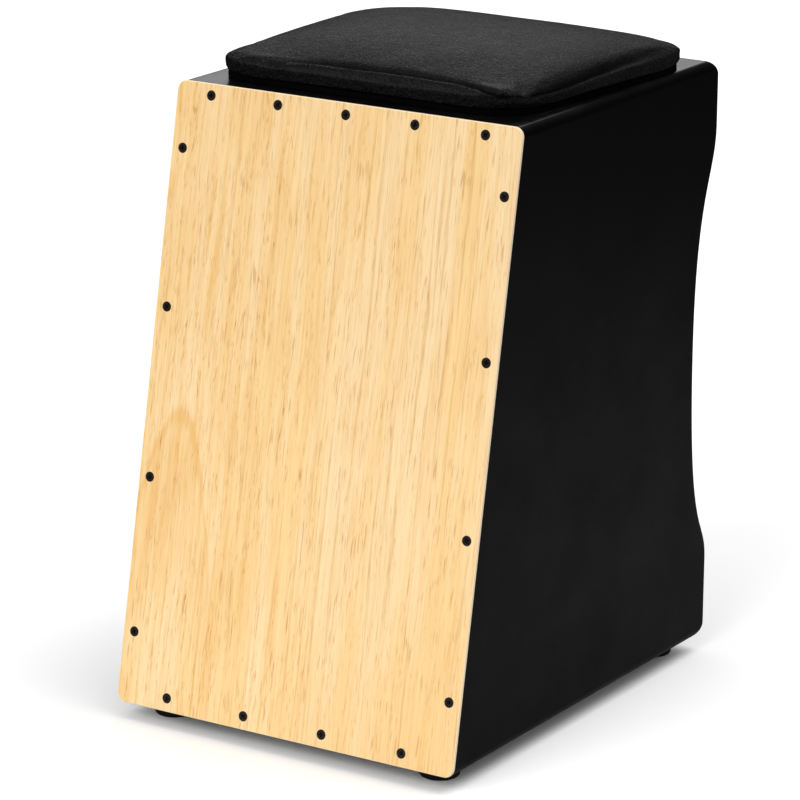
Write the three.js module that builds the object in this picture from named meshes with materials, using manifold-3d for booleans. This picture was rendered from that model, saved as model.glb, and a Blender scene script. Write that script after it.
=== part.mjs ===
// Electroacoustic cajon: a slant-fronted box drum with a waisted back, a seat cushion, snares and a pickup.
// Millimetres, +Z up. The origin is on the floor under the middle of the box. The playing face looks to -Y.
import * as THREE from "three";
import { mergeVertices } from "three/addons/utils/BufferGeometryUtils.js";
import Module from "manifold-3d";

const wasm = await Module();
wasm.setup();

// Shell, over the playing face
const WIDTH = 315;
const SHELL_HEIGHT = 490;
const BASE_DEPTH = 400;
const TOP_DEPTH = 308;
const FOOT_HEIGHT = 13;
const SIDE_THICKNESS = 15;
const TOP_THICKNESS = 18;
const BOTTOM_THICKNESS = 15;
const BACK_THICKNESS = 6;
const TAPA_THICKNESS = 3;
const LONG_EDGE_RADIUS = 8;
const BACK_CORNER_RADIUS = 12;

// Back contour: straight lands at the top and bottom, and a waist between them
const UPPER_LAND = 53;
const LOWER_LAND = 67;
const WAIST_DEPTH = 30.5;
const WAIST_HEIGHT = 255.5;
const UPPER_SHOULDER_SHARE = 0.235;
const UPPER_WAIST_SHARE = 0.73;
const LOWER_SHOULDER_SHARE = 0.217;
const LOWER_WAIST_SHARE = 0.913;
const BACK_REVEAL = 3;
const GROOVE_DEPTH = 4;

// Clearances
const GLUE_LINE = 0.2;
const SEAM = 0.3;
const SCREW_GAP = 0.3;
const RUNNING_GAP = 0.15;
const OVERRUN = 20;

// Glued corner strips
const STRIP_WIDTH = 18;
const STRIP_END_GAP = 4;

// Screws: head, shank and length
const TAPA_SCREW = { head: 3.6, headHeight: 2.1, shank: 1.6, fullLength: 20 };
const FOOT_SCREW = { head: 4, headHeight: 2.4, shank: 2, fullLength: 19 };
const CUSHION_SCREW = { head: 4, headHeight: 2.4, shank: 2, fullLength: 22 };
const SNARE_SCREW = { head: 3, headHeight: 1.8, shank: 1.4, fullLength: 15 };
const PLATE_SCREW = { head: 2.8, headHeight: 1.6, shank: 1.2, fullLength: 7 };
const TIP_SHARE = 0.2;
const RECESS_LENGTH_SHARE = 1.1;
const RECESS_WIDTH_SHARE = 0.26;
const RECESS_DEPTH_SHARE = 0.6;

// Screw lines of the playing face, from its edges
const TOP_ROW_EDGE = 9.4;
const TOP_ROW_INSET = 32.3;
const TOP_ROW_COUNT = 5;
const BOTTOM_ROW_EDGE = 10.8;
const BOTTOM_ROW_INSET = 47.5;
const BOTTOM_ROW_COUNT = 4;
const SIDE_COLUMN_EDGE = 10.2;
const SIDE_COLUMN_TOP_INSET = 53.2;
const SIDE_COLUMN_BOTTOM_INSET = 58;
const SIDE_COLUMN_SHARES = [0, 0.323, 0.675, 1];

// Feet
const FOOT_RADIUS = 16;
const FOOT_RIM = 2.5;
const FOOT_SIDE_INSET = 32.5;
const FOOT_FRONT_INSET = 34.5;
const FOOT_BACK_INSET = 29.5;
const FOOT_SCREW_SINK = 5;

// Snare rail and snares, on the slope of the playing face
const RAIL_DROP = 120;
const RAIL_WIDTH = 30;
const RAIL_DEPTH = 22;
const RAIL_TO_TAPA = 8;
const SNARE_SIDE_INSET = 70.5;
const SNARE_BLOCK_WIDTH = 56;
const SNARE_BLOCK_HEIGHT = 14;
const SNARE_BLOCK_CLEAR = 1.5;
const SNARE_WIRE_COUNT = 10;
const SNARE_WIRE = 0.9;
const SNARE_WIRE_LENGTH = 104;
const SNARE_WIRE_ROOT = 6;
const SNARE_WIRE_MARGIN = 4;

// Pickup on the inside of the playing face, and its lead
const PICKUP_RADIUS = 13.5;
const PICKUP_THICKNESS = 2.4;
const PICKUP_DROP = 80;
const LEAD_RADIUS = 1.5;
const LEAD_SIDES = 8;
const LEAD_STEPS = 60;
const LEAD_DROP = 4.5;
const CLIP_WIDTH = 11;
const CLIP_LENGTH = 9;
const CLIP_BACK = 20;
const CLIP_TO_PLATE = 10;
const CLIP_WALL = 2;

// The lead's route in X, Y and Z, as shares of the way from the pickup to its clip and on to the jack
const LEAD_TO_CLIP_SHARES = [
  [0, 0.087, -0.048], [0.25, 0.172, 0.326], [0.66, 0.344, 0.86], [1, 0.615, 1], [1, 0.857, 1], [1, 1, 1],
];
const LEAD_TO_JACK_SHARES = [
  [0, 0.255, 0], [0.2, 0.646, 0.028], [0.8, 0.85, 0.175], [1, 0.867, 0.519],
  [1, 0.8, 0.843], [1, 0.833, 0.974], [1, 0.918, 1], [1, 1, 1],
];

// Sound hole and jack plate in the back
const SOUND_HOLE_RADIUS = 55;
const PLATE_SIDE_INSET = 22.5;
const PLATE_WIDTH = 44;
const PLATE_HEIGHT = 84;
const PLATE_THICKNESS = 2.5;
const PLATE_CORNER = 5;
const PLATE_REBATE = 1.2;
const PLATE_SCREW_EDGE = 5;
const APERTURE_WIDTH = 25;
const APERTURE_HEIGHT = 66;
const JACK_DROP = 20;
const POT_RISE = 18;

// Jack
const JACK_BORE_RADIUS = 3.25;
const JACK_BORE_DEPTH = 31;
const JACK_BUSHING_RADIUS = 4.7;
const JACK_BUSHING_STAND = 4;
const JACK_BODY_RADIUS = 7.5;
const JACK_END_WALL = 3;
const JACK_NUT_FLATS = 13;
const JACK_NUT_THICKNESS = 2.4;

// Volume control
const POT_BODY_RADIUS = 8.5;
const POT_BODY_DEPTH = 9;
const POT_BUSHING_RADIUS = 3.9;
const POT_BUSHING_STAND = 5;
const POT_NUT_FLATS = 10;
const POT_NUT_THICKNESS = 2;
const SHAFT_RADIUS = 2.95;
const SHAFT_SINK = 4;
const SHAFT_LENGTH = 19;
const KNOB_RADIUS = 9;
const KNOB_TOP_RADIUS = 8;
const KNOB_HEIGHT = 15;
const KNOB_GAP = 0.6;
const KNOB_SKIRT_RADIUS = 6.4;
const KNOB_SKIRT_DEPTH = 6;
const POINTER_WIDTH = 1.2;
const POINTER_DEPTH = 0.8;

// Cushion and its base
const CUSHION_SIDE_INSET = 10.5;
const CUSHION_FRONT_INSET = 17;
const CUSHION_BACK_INSET = 35;
const CUSHION_SHIFT = 3;
const CUSHION_BASE_THICKNESS = 5;
const CUSHION_BASE_MARGIN = 1.5;
const CUSHION_EDGE = 14;
const CUSHION_CROWN = 14;
const CUSHION_SQUARENESS = 6;
const CUSHION_CROWN_POWER = 2.2;
const CUSHION_SIDE_SHARES = [
  [0.955, 0], [0.982, 0.16], [0.996, 0.42], [1, 0.68], [0.992, 0.88], [0.972, 1],
];
const CUSHION_CROWN_SHARES = [0.93, 0.84, 0.7, 0.54, 0.38, 0.22, 0.08];
const CUSHION_SCREW_WIDTH_SHARE = 0.6;
const CUSHION_SCREW_DEPTH_SHARE = 0.6;

// Steps of round shapes
const BACK_LINE_STEPS = 12;
const CORNER_STEPS = 5;
const HOLE_STEPS = 40;
const SCREW_STEPS = 10;
const TURNED_STEPS = 20;
const CUSHION_STEPS = 64;

// Places worked out from the sizes
const HALF_WIDTH = WIDTH / 2;
const INNER_HALF = HALF_WIDTH - SIDE_THICKNESS;
const BOARD_HALF = INNER_HALF - GLUE_LINE;
const UNDERSIDE = FOOT_HEIGHT;
const BOARD_TOP = UNDERSIDE + SHELL_HEIGHT;
const TOP_BOARD_UNDERSIDE = BOARD_TOP - TOP_THICKNESS;
const BOTTOM_BOARD_TOP = UNDERSIDE + BOTTOM_THICKNESS;
const BACK = BASE_DEPTH / 2;
const WAIST_Z = UNDERSIDE + WAIST_HEIGHT;
const WAIST_Y = BACK - WAIST_DEPTH;
const SLOPE = Math.atan2(BASE_DEPTH - TOP_DEPTH, SHELL_HEIGHT);
const SLOPE_LENGTH = SHELL_HEIGHT / Math.cos(SLOPE);
const INNER_SLOPE = (TOP_BOARD_UNDERSIDE - UNDERSIDE) / Math.cos(SLOPE);
const PICKUP_HEIGHT = INNER_SLOPE - PICKUP_DROP;
const RAIL_HEIGHT = INNER_SLOPE - RAIL_DROP - RAIL_WIDTH;
const SNARE_OFFSET = INNER_HALF - SNARE_SIDE_INSET;
const BACK_FACE = WAIST_Y - BACK_REVEAL;
const REBATE_FLOOR = BACK_FACE - PLATE_REBATE;
const PLATE_BACK = REBATE_FLOOR + GLUE_LINE;
const PLATE_FACE = PLATE_BACK + PLATE_THICKNESS;
const PLATE_OFFSET = INNER_HALF - PLATE_SIDE_INSET - PLATE_WIDTH / 2;
const CLIP_OFFSET = PLATE_OFFSET - CLIP_TO_PLATE;
const JACK_Z = WAIST_Z - JACK_DROP;
const POT_Z = WAIST_Z + POT_RISE;
const CUSHION_WIDTH = WIDTH - 2 * CUSHION_SIDE_INSET;
const CUSHION_DEPTH = TOP_DEPTH - CUSHION_FRONT_INSET - CUSHION_BACK_INSET;
const CUSHION_CENTRE_Y = BACK - CUSHION_BACK_INSET - CUSHION_DEPTH / 2;

const frontPlane = (z) =>
  -BASE_DEPTH / 2 + (z - UNDERSIDE) * Math.tan(SLOPE) + (TAPA_THICKNESS + SEAM) / Math.cos(SLOPE);

const finish = (color, roughness, metalness = 0) =>
  new THREE.MeshStandardMaterial({ color, roughness, metalness });
const BLACK_PAINT = finish(0x141414, 0.4);
const TAPA_WOOD = finish(0xecd09a, 0.5);
const RAW_WOOD = finish(0xc8a878, 0.7);
const BLACK_SCREW = finish(0x1a1512, 0.45, 0.8);
const STEEL = finish(0xb8b8ba, 0.3, 1);
const BRASS = finish(0xc9a75a, 0.35, 1);
const LEATHERETTE = finish(0x1c1c1c, 0.6);
const RUBBER = finish(0x121212, 0.8);
const PLASTIC = finish(0x18181a, 0.5);

// A closed geometry as a solid that can be cut and joined
function solidOf(geometry) {
  const bare = geometry.clone();
  bare.deleteAttribute("normal");
  bare.deleteAttribute("uv");
  const merged = mergeVertices(bare);
  const corners = merged.index.array;
  const faces = [];
  for (let i = 0; i < corners.length; i += 3) {
    const [a, b, c] = corners.subarray(i, i + 3);
    if (a !== b && b !== c && c !== a) faces.push(a, b, c);
  }
  const vertProperties = new Float32Array(merged.attributes.position.array);
  const triVerts = new Uint32Array(faces);
  return new wasm.Manifold(new wasm.Mesh({ numProp: 3, vertProperties, triVerts }));
}

function geometryOf(solid) {
  const { vertProperties, triVerts } = solid.getMesh();
  const geometry = new THREE.BufferGeometry();
  geometry.setAttribute("position", new THREE.BufferAttribute(vertProperties, 3));
  geometry.setIndex(new THREE.BufferAttribute(triVerts, 1));
  return geometry;
}

function cut(geometry, tools) {
  return geometryOf(tools.reduce((solid, tool) => solid.subtract(solidOf(tool)), solidOf(geometry)));
}

function join(geometries) {
  return geometryOf(geometries.map(solidOf).reduce((whole, piece) => whole.add(piece)));
}

function place(parent, name, geometry, material, position = [0, 0, 0]) {
  const mesh = new THREE.Mesh(geometry, material);
  mesh.name = name;
  mesh.position.set(...position);
  parent.add(mesh);
  return mesh;
}

function box([x0, x1], [y0, y1], [z0, z1]) {
  const geometry = new THREE.BoxGeometry(x1 - x0, y1 - y0, z1 - z0);
  return geometry.translate((x0 + x1) / 2, (y0 + y1) / 2, (z0 + z1) / 2);
}

// An outline drawn in Y and Z, as a board from one X to another
function boardAlongX(outline, x0, x1) {
  const settings = { depth: x1 - x0, bevelEnabled: false };
  const geometry = new THREE.ExtrudeGeometry(new THREE.Shape(outline), settings);
  const toYZ = new THREE.Matrix4().makeBasis(
    new THREE.Vector3(0, 1, 0), new THREE.Vector3(0, 0, 1), new THREE.Vector3(1, 0, 0));
  return geometry.applyMatrix4(toYZ).translate(x0, 0, 0);
}

// An outline drawn in X and Z, as a plate from one Y to another
function plateAlongY(outline, y0, y1) {
  const settings = { depth: y1 - y0, bevelEnabled: false };
  const geometry = new THREE.ExtrudeGeometry(new THREE.Shape(outline), settings);
  return geometry.rotateX(Math.PI / 2).translate(0, y1, 0);
}

function arc(centreA, centreB, radius, from, to) {
  return Array.from({ length: CORNER_STEPS + 1 }, (_, i) => {
    const turn = from + ((to - from) * i) / CORNER_STEPS;
    return new THREE.Vector2(centreA + radius * Math.cos(turn), centreB + radius * Math.sin(turn));
  });
}

function roundedRectangle(x0, x1, z0, z1, radius) {
  return [
    ...arc(x1 - radius, z0 + radius, radius, -Math.PI / 2, 0),
    ...arc(x1 - radius, z1 - radius, radius, 0, Math.PI / 2),
    ...arc(x0 + radius, z1 - radius, radius, Math.PI / 2, Math.PI),
    ...arc(x0 + radius, z0 + radius, radius, Math.PI, 1.5 * Math.PI),
  ];
}

// A shape turned round the Y axis from [radius, y] points
function turned(points, steps = TURNED_STEPS) {
  return new THREE.LatheGeometry(points.map(([radius, y]) => new THREE.Vector2(radius, y)), steps);
}

function roundBar(radius, y0, y1, steps = TURNED_STEPS) {
  return turned([[0, y0], [radius, y0], [radius, y1], [0, y1]], steps);
}

// The waisted back line from one height down to another, in Y and Z
function backLine(zTop, zBottom) {
  const upper = BOARD_TOP - UPPER_LAND - WAIST_Z;
  const lower = WAIST_HEIGHT - LOWER_LAND;
  const waist = new THREE.Vector2(WAIST_Y, WAIST_Z);
  const fall = new THREE.CubicBezierCurve(
    new THREE.Vector2(BACK, WAIST_Z + upper),
    new THREE.Vector2(BACK, WAIST_Z + upper * (1 - UPPER_SHOULDER_SHARE)),
    new THREE.Vector2(WAIST_Y, WAIST_Z + upper * UPPER_WAIST_SHARE),
    waist);
  const rise = new THREE.CubicBezierCurve(
    waist,
    new THREE.Vector2(WAIST_Y, WAIST_Z - lower * LOWER_WAIST_SHARE),
    new THREE.Vector2(BACK, WAIST_Z - lower * (1 - LOWER_SHOULDER_SHARE)),
    new THREE.Vector2(BACK, WAIST_Z - lower));
  return [
    new THREE.Vector2(BACK, zTop),
    ...fall.getPoints(BACK_LINE_STEPS),
    ...rise.getPoints(BACK_LINE_STEPS).slice(1),
    new THREE.Vector2(BACK, zBottom),
  ];
}

// The strip between two depths behind the back line
function backStrip(zTop, zBottom, outer, inner) {
  const line = backLine(zTop, zBottom);
  const offset = (depth) => line.map((p, i) => {
    const along = line[Math.min(i + 1, line.length - 1)].clone().sub(line[Math.max(i - 1, 0)]).normalize();
    return new THREE.Vector2(p.x + along.y * depth, p.y - along.x * depth);
  });
  return [...offset(outer), ...offset(inner).reverse()];
}

// The front edge between two heights, where the playing face is seated
function frontEdge(z0, z1) {
  return [new THREE.Vector2(frontPlane(z0), z0), new THREE.Vector2(frontPlane(z1), z1)];
}

const topCorner = () =>
  arc(BACK - BACK_CORNER_RADIUS, BOARD_TOP - BACK_CORNER_RADIUS, BACK_CORNER_RADIUS, Math.PI / 2, 0);
const bottomCorner = () =>
  arc(BACK - BACK_CORNER_RADIUS, UNDERSIDE + BACK_CORNER_RADIUS, BACK_CORNER_RADIUS, 0, -Math.PI / 2);

function sideOutline() {
  const line = backLine(BOARD_TOP - BACK_CORNER_RADIUS, UNDERSIDE + BACK_CORNER_RADIUS).slice(1, -1);
  return [...frontEdge(UNDERSIDE, BOARD_TOP), ...topCorner(), ...line, ...bottomCorner()];
}

function topOutline() {
  const inner = new THREE.Vector2(BACK, TOP_BOARD_UNDERSIDE);
  return [...frontEdge(TOP_BOARD_UNDERSIDE, BOARD_TOP), ...topCorner(), inner];
}

function bottomOutline() {
  const inner = new THREE.Vector2(BACK, BOTTOM_BOARD_TOP);
  return [...frontEdge(UNDERSIDE, BOTTOM_BOARD_TOP), inner, ...bottomCorner()];
}

// A countersunk screw with its head's face at Y = 0 and its shank along +Y
function screwProfile({ head, headHeight, shank, fullLength }) {
  return [[0, 0], [head, 0], [shank, headHeight], [shank, fullLength * (1 - TIP_SHARE)], [0, fullLength]];
}

function screwGeometry(screw) {
  const reach = screw.head * RECESS_LENGTH_SHARE / 2;
  const half = screw.head * RECESS_WIDTH_SHARE / 2;
  const depth = [-OVERRUN, screw.headHeight * RECESS_DEPTH_SHARE];
  const cross = [box([-reach, reach], depth, [-half, half]), box([-half, half], depth, [-reach, reach])];
  return cut(turned(screwProfile(screw), SCREW_STEPS), cross);
}

// The hole that such a screw needs, open beyond its head
function screwHole({ head, headHeight, shank, fullLength }) {
  return turned([
    [0, -OVERRUN], [head + SCREW_GAP, -OVERRUN], [head + SCREW_GAP, 0], [shank + SCREW_GAP, headHeight],
    [shank + SCREW_GAP, fullLength + SCREW_GAP], [0, fullLength + SCREW_GAP],
  ], SCREW_STEPS);
}

function hexNut(flats, thickness, bore) {
  const outer = new THREE.CylinderGeometry(flats / Math.sqrt(3), flats / Math.sqrt(3), thickness, 6);
  return cut(outer.translate(0, thickness / 2, 0), [roundBar(bore, -OVERRUN, OVERRUN)]);
}

// The slanted frame of the playing face: local Z runs up the slope, and local -Y looks out of it
const cajon = new THREE.Group();
const front = new THREE.Group();
front.position.set(0, frontPlane(UNDERSIDE), UNDERSIDE);
front.rotation.x = -SLOPE;
front.updateMatrix();
cajon.add(front);

function tapaScrewPlaces() {
  const places = [];
  const row = (label, count, inset, height) => {
    const reach = HALF_WIDTH - inset;
    for (let i = 0; i < count; i += 1) {
      const x = -reach + (2 * reach * i) / (count - 1);
      places.push({ name: `tapa_screw_${label}_${i + 1}`, x, height, label });
    }
  };
  row("top", TOP_ROW_COUNT, TOP_ROW_INSET, SLOPE_LENGTH - TOP_ROW_EDGE);
  row("bottom", BOTTOM_ROW_COUNT, BOTTOM_ROW_INSET, BOTTOM_ROW_EDGE);
  const reach = SLOPE_LENGTH - SIDE_COLUMN_TOP_INSET - SIDE_COLUMN_BOTTOM_INSET;
  for (const [label, side] of [["left", -1], ["right", 1]]) {
    SIDE_COLUMN_SHARES.forEach((share, i) => {
      const height = SIDE_COLUMN_BOTTOM_INSET + reach * share;
      const x = side * (HALF_WIDTH - SIDE_COLUMN_EDGE);
      places.push({ name: `tapa_screw_${label}_${i + 1}`, x, height, label });
    });
  }
  return places;
}

const TAPA_FACE = -(SEAM + TAPA_THICKNESS);
const tapaScrews = tapaScrewPlaces();
const tapaScrewHoles = (labels) => tapaScrews
  .filter(({ label }) => labels.includes(label))
  .map(({ x, height }) => screwHole(TAPA_SCREW).translate(x, TAPA_FACE, height));
const boardHoles = (label) => tapaScrewHoles([label]).map((hole) => hole.applyMatrix4(front.matrix));

const footPlaces = [
  ["front_left", -1, -1], ["front_right", 1, -1], ["rear_left", -1, 1], ["rear_right", 1, 1],
].map(([label, side, end]) => ({
  label,
  x: side * (HALF_WIDTH - FOOT_SIDE_INSET),
  y: end < 0 ? -BASE_DEPTH / 2 + FOOT_FRONT_INSET : BACK - FOOT_BACK_INSET,
}));

const cushionScrewPlaces = [[-1, -1], [1, -1], [-1, 1], [1, 1]].map(([side, end]) => ({
  x: CUSHION_SHIFT + (side * CUSHION_SCREW_WIDTH_SHARE * CUSHION_WIDTH) / 2,
  y: CUSHION_CENTRE_Y + (end * CUSHION_SCREW_DEPTH_SHARE * CUSHION_DEPTH) / 2,
}));

const upright = (geometry) => geometry.rotateX(Math.PI / 2);
const footScrewHole = ({ x, y }) => upright(screwHole(FOOT_SCREW)).translate(x, y, FOOT_SCREW_SINK);
const cushionScrewHole = ({ x, y }) =>
  upright(screwHole(CUSHION_SCREW)).translate(x, y, TOP_BOARD_UNDERSIDE);

function addShell() {
  const section = plateAlongY(
    roundedRectangle(-HALF_WIDTH, HALF_WIDTH, UNDERSIDE, BOARD_TOP, LONG_EDGE_RADIUS),
    -BASE_DEPTH, BASE_DEPTH);
  const groove = boardAlongX(
    backStrip(
      TOP_BOARD_UNDERSIDE, BOTTOM_BOARD_TOP,
      BACK_REVEAL - GLUE_LINE, BACK_REVEAL + BACK_THICKNESS + GLUE_LINE),
    -INNER_HALF - GROOVE_DEPTH, INNER_HALF + GROOVE_DEPTH);
  for (const [label, side] of [["left", -1], ["right", 1]]) {
    const inner = side < 0 ? -HALF_WIDTH : INNER_HALF;
    const slab = solidOf(boardAlongX(sideOutline(), inner, inner + SIDE_THICKNESS));
    const board = geometryOf(slab.intersect(solidOf(section)));
    place(cajon, `side_panel_${label}`, cut(board, [groove, ...boardHoles(label)]), BLACK_PAINT);
  }
  const top = boardAlongX(topOutline(), -BOARD_HALF, BOARD_HALF);
  const topHoles = [...boardHoles("top"), ...cushionScrewPlaces.map(cushionScrewHole)];
  place(cajon, "top_panel", cut(top, topHoles), BLACK_PAINT);
  const bottom = boardAlongX(bottomOutline(), -BOARD_HALF, BOARD_HALF);
  const bottomHoles = [...boardHoles("bottom"), ...footPlaces.map(footScrewHole)];
  place(cajon, "bottom_panel", cut(bottom, bottomHoles), BLACK_PAINT);
}

function addBackPanel() {
  const reach = INNER_HALF + GROOVE_DEPTH - GLUE_LINE;
  const strip = backStrip(
    TOP_BOARD_UNDERSIDE - GLUE_LINE, BOTTOM_BOARD_TOP + GLUE_LINE,
    BACK_REVEAL, BACK_REVEAL + BACK_THICKNESS);
  const throughBack = [REBATE_FLOOR - OVERRUN, BACK + OVERRUN];
  const soundHole = roundBar(SOUND_HOLE_RADIUS, ...throughBack, HOLE_STEPS).translate(0, 0, WAIST_Z);
  const aroundPlate = (halfWidth, halfHeight, radius, y0, y1) => plateAlongY(
    roundedRectangle(
      PLATE_OFFSET - halfWidth, PLATE_OFFSET + halfWidth,
      WAIST_Z - halfHeight, WAIST_Z + halfHeight, radius),
    y0, y1);
  const rebate = aroundPlate(
    PLATE_WIDTH / 2 + GLUE_LINE, PLATE_HEIGHT / 2 + GLUE_LINE, PLATE_CORNER, REBATE_FLOOR, BACK + OVERRUN);
  const aperture = aroundPlate(APERTURE_WIDTH / 2, APERTURE_HEIGHT / 2, PLATE_CORNER, ...throughBack);
  const holes = [soundHole, rebate, aperture, ...plateScrewHoles()];
  place(cajon, "back_panel", cut(boardAlongX(strip, -reach, reach), holes), BLACK_PAINT);
}

function addCornerStrips() {
  const backEnd = BACK - BACK_REVEAL - BACK_THICKNESS - STRIP_END_GAP;
  const levels = [
    ["top", TOP_BOARD_UNDERSIDE - GLUE_LINE - STRIP_WIDTH, TOP_BOARD_UNDERSIDE - GLUE_LINE],
    ["bottom", BOTTOM_BOARD_TOP + GLUE_LINE, BOTTOM_BOARD_TOP + GLUE_LINE + STRIP_WIDTH],
  ];
  for (const [level, z0, z1] of levels) {
    const length = [frontPlane(z1) + STRIP_END_GAP, backEnd];
    const left = box([-BOARD_HALF, -BOARD_HALF + STRIP_WIDTH], length, [z0, z1]);
    const right = box([BOARD_HALF - STRIP_WIDTH, BOARD_HALF], length, [z0, z1]);
    place(cajon, `corner_strip_${level}_left`, left, RAW_WOOD);
    place(cajon, `corner_strip_${level}_right`, right, RAW_WOOD);
  }
}

function addTapa() {
  const outline = roundedRectangle(-HALF_WIDTH, HALF_WIDTH, 0, SLOPE_LENGTH, LONG_EDGE_RADIUS);
  const holes = tapaScrewHoles(["top", "bottom", "left", "right"]);
  place(front, "tapa", cut(plateAlongY(outline, TAPA_FACE, -SEAM), holes), TAPA_WOOD);
  const geometry = screwGeometry(TAPA_SCREW);
  for (const { name, x, height } of tapaScrews) {
    place(front, name, geometry, BLACK_SCREW, [x, TAPA_FACE, height]);
  }
}

function addSnares() {
  const blockFront = SNARE_BLOCK_CLEAR;
  const blockBack = RAIL_TO_TAPA - GLUE_LINE;
  const blockBase = RAIL_HEIGHT + RAIL_WIDTH - SNARE_BLOCK_HEIGHT;
  const blockTop = RAIL_HEIGHT + RAIL_WIDTH;
  const screwAt = [blockFront, (blockBase + blockTop) / 2];
  const rail = box(
    [-BOARD_HALF, BOARD_HALF], [RAIL_TO_TAPA, RAIL_TO_TAPA + RAIL_DEPTH], [RAIL_HEIGHT, blockTop]);
  const holes = [-1, 1].map((side) => screwHole(SNARE_SCREW).translate(side * SNARE_OFFSET, ...screwAt));
  place(front, "snare_rail", cut(rail, holes), RAW_WOOD);

  // The wires lean forward from the block until their tips lie against the playing face
  const lean = Math.asin((SNARE_BLOCK_CLEAR + SNARE_WIRE) / SNARE_WIRE_LENGTH);
  const half = SNARE_BLOCK_WIDTH / 2;
  const first = -half + SNARE_WIRE_MARGIN;
  const pieces = [box([-half, half], [blockFront, blockBack], [blockBase, blockTop])];
  for (let i = 0; i < SNARE_WIRE_COUNT; i += 1) {
    const x = first - (2 * first * i) / (SNARE_WIRE_COUNT - 1);
    const wire = box(
      [x - SNARE_WIRE / 2, x + SNARE_WIRE / 2], [0, SNARE_WIRE], [-SNARE_WIRE_ROOT, SNARE_WIRE_LENGTH]);
    pieces.push(wire.rotateX(lean).translate(0, blockFront + SNARE_WIRE, blockTop));
  }
  const snare = cut(join(pieces), [screwHole(SNARE_SCREW).translate(0, ...screwAt)]);
  const screw = screwGeometry(SNARE_SCREW);
  for (const [label, side] of [["left", -1], ["right", 1]]) {
    place(front, `snare_${label}`, snare, STEEL, [side * SNARE_OFFSET, 0, 0]);
    place(front, `snare_screw_${label}`, screw, STEEL, [side * SNARE_OFFSET, ...screwAt]);
  }
}

function addPickup() {
  place(front, "pickup_disc", roundBar(PICKUP_RADIUS, 0, PICKUP_THICKNESS), BRASS, [0, 0, PICKUP_HEIGHT]);

  // The lead leaves the disc, runs back under the top board through its clip, and drops to the jack
  const start = new THREE.Vector3(0, PICKUP_THICKNESS + SEAM, PICKUP_HEIGHT).applyMatrix4(front.matrix);
  const under = TOP_BOARD_UNDERSIDE - LEAD_DROP;
  const inClip = new THREE.Vector3(CLIP_OFFSET, CLIP_BACK, under);
  const jackEnd = PLATE_FACE + JACK_BUSHING_STAND - JACK_BORE_DEPTH - JACK_END_WALL - SEAM;
  const end = new THREE.Vector3(PLATE_OFFSET, jackEnd, JACK_Z);
  const between = (a, b, shares) => shares.map((share) =>
    new THREE.Vector3(...share).multiply(b.clone().sub(a)).add(a));
  const route = [
    start, ...between(start, inClip, LEAD_TO_CLIP_SHARES), ...between(inClip, end, LEAD_TO_JACK_SHARES),
  ];
  const section = new THREE.Shape();
  for (let i = 0; i < LEAD_SIDES; i += 1) {
    const turn = (2 * Math.PI * i) / LEAD_SIDES;
    section[i ? "lineTo" : "moveTo"](LEAD_RADIUS * Math.cos(turn), LEAD_RADIUS * Math.sin(turn));
  }
  const lead = new THREE.ExtrudeGeometry(section, {
    steps: LEAD_STEPS,
    bevelEnabled: false,
    extrudePath: new THREE.CatmullRomCurve3(route),
  });
  place(cajon, "pickup_lead", lead, PLASTIC);

  const clipTop = TOP_BOARD_UNDERSIDE - GLUE_LINE;
  const clip = box(
    [CLIP_OFFSET - CLIP_WIDTH / 2, CLIP_OFFSET + CLIP_WIDTH / 2],
    [CLIP_BACK - CLIP_LENGTH / 2, CLIP_BACK + CLIP_LENGTH / 2],
    [under - LEAD_RADIUS - CLIP_WALL, clipTop]);
  const channel = roundBar(LEAD_RADIUS + SEAM, -OVERRUN, OVERRUN, SCREW_STEPS).translate(...inClip);
  place(cajon, "lead_clip", cut(clip, [channel]), PLASTIC);
}

function plateScrewPlaces() {
  const reachX = PLATE_WIDTH / 2 - PLATE_SCREW_EDGE;
  const reachZ = PLATE_HEIGHT / 2 - PLATE_SCREW_EDGE;
  const corners = [[-1, -1], [1, -1], [-1, 1], [1, 1]];
  return corners.map(([side, end]) => [PLATE_OFFSET + side * reachX, WAIST_Z + end * reachZ]);
}

// Screws driven in through the back point along -Y
const intoBack = (geometry) => geometry.rotateX(Math.PI);

function plateScrewHoles() {
  return plateScrewPlaces().map(([x, z]) => intoBack(screwHole(PLATE_SCREW)).translate(x, PLATE_FACE, z));
}

function addJackPlate() {
  const outline = roundedRectangle(
    PLATE_OFFSET - PLATE_WIDTH / 2, PLATE_OFFSET + PLATE_WIDTH / 2,
    WAIST_Z - PLATE_HEIGHT / 2, WAIST_Z + PLATE_HEIGHT / 2, PLATE_CORNER);
  const through = (radius, z) =>
    roundBar(radius + SEAM, PLATE_BACK - OVERRUN, PLATE_FACE + OVERRUN).translate(PLATE_OFFSET, 0, z);
  const bushings = [through(JACK_BUSHING_RADIUS, JACK_Z), through(POT_BUSHING_RADIUS, POT_Z)];
  const plate = cut(plateAlongY(outline, PLATE_BACK, PLATE_FACE), [...bushings, ...plateScrewHoles()]);
  place(cajon, "jack_plate", plate, PLASTIC);
  const screw = intoBack(screwGeometry(PLATE_SCREW));
  plateScrewPlaces().forEach(([x, z], i) => {
    place(cajon, `plate_screw_${i + 1}`, screw, BLACK_SCREW, [x, PLATE_FACE, z]);
  });
}

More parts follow.
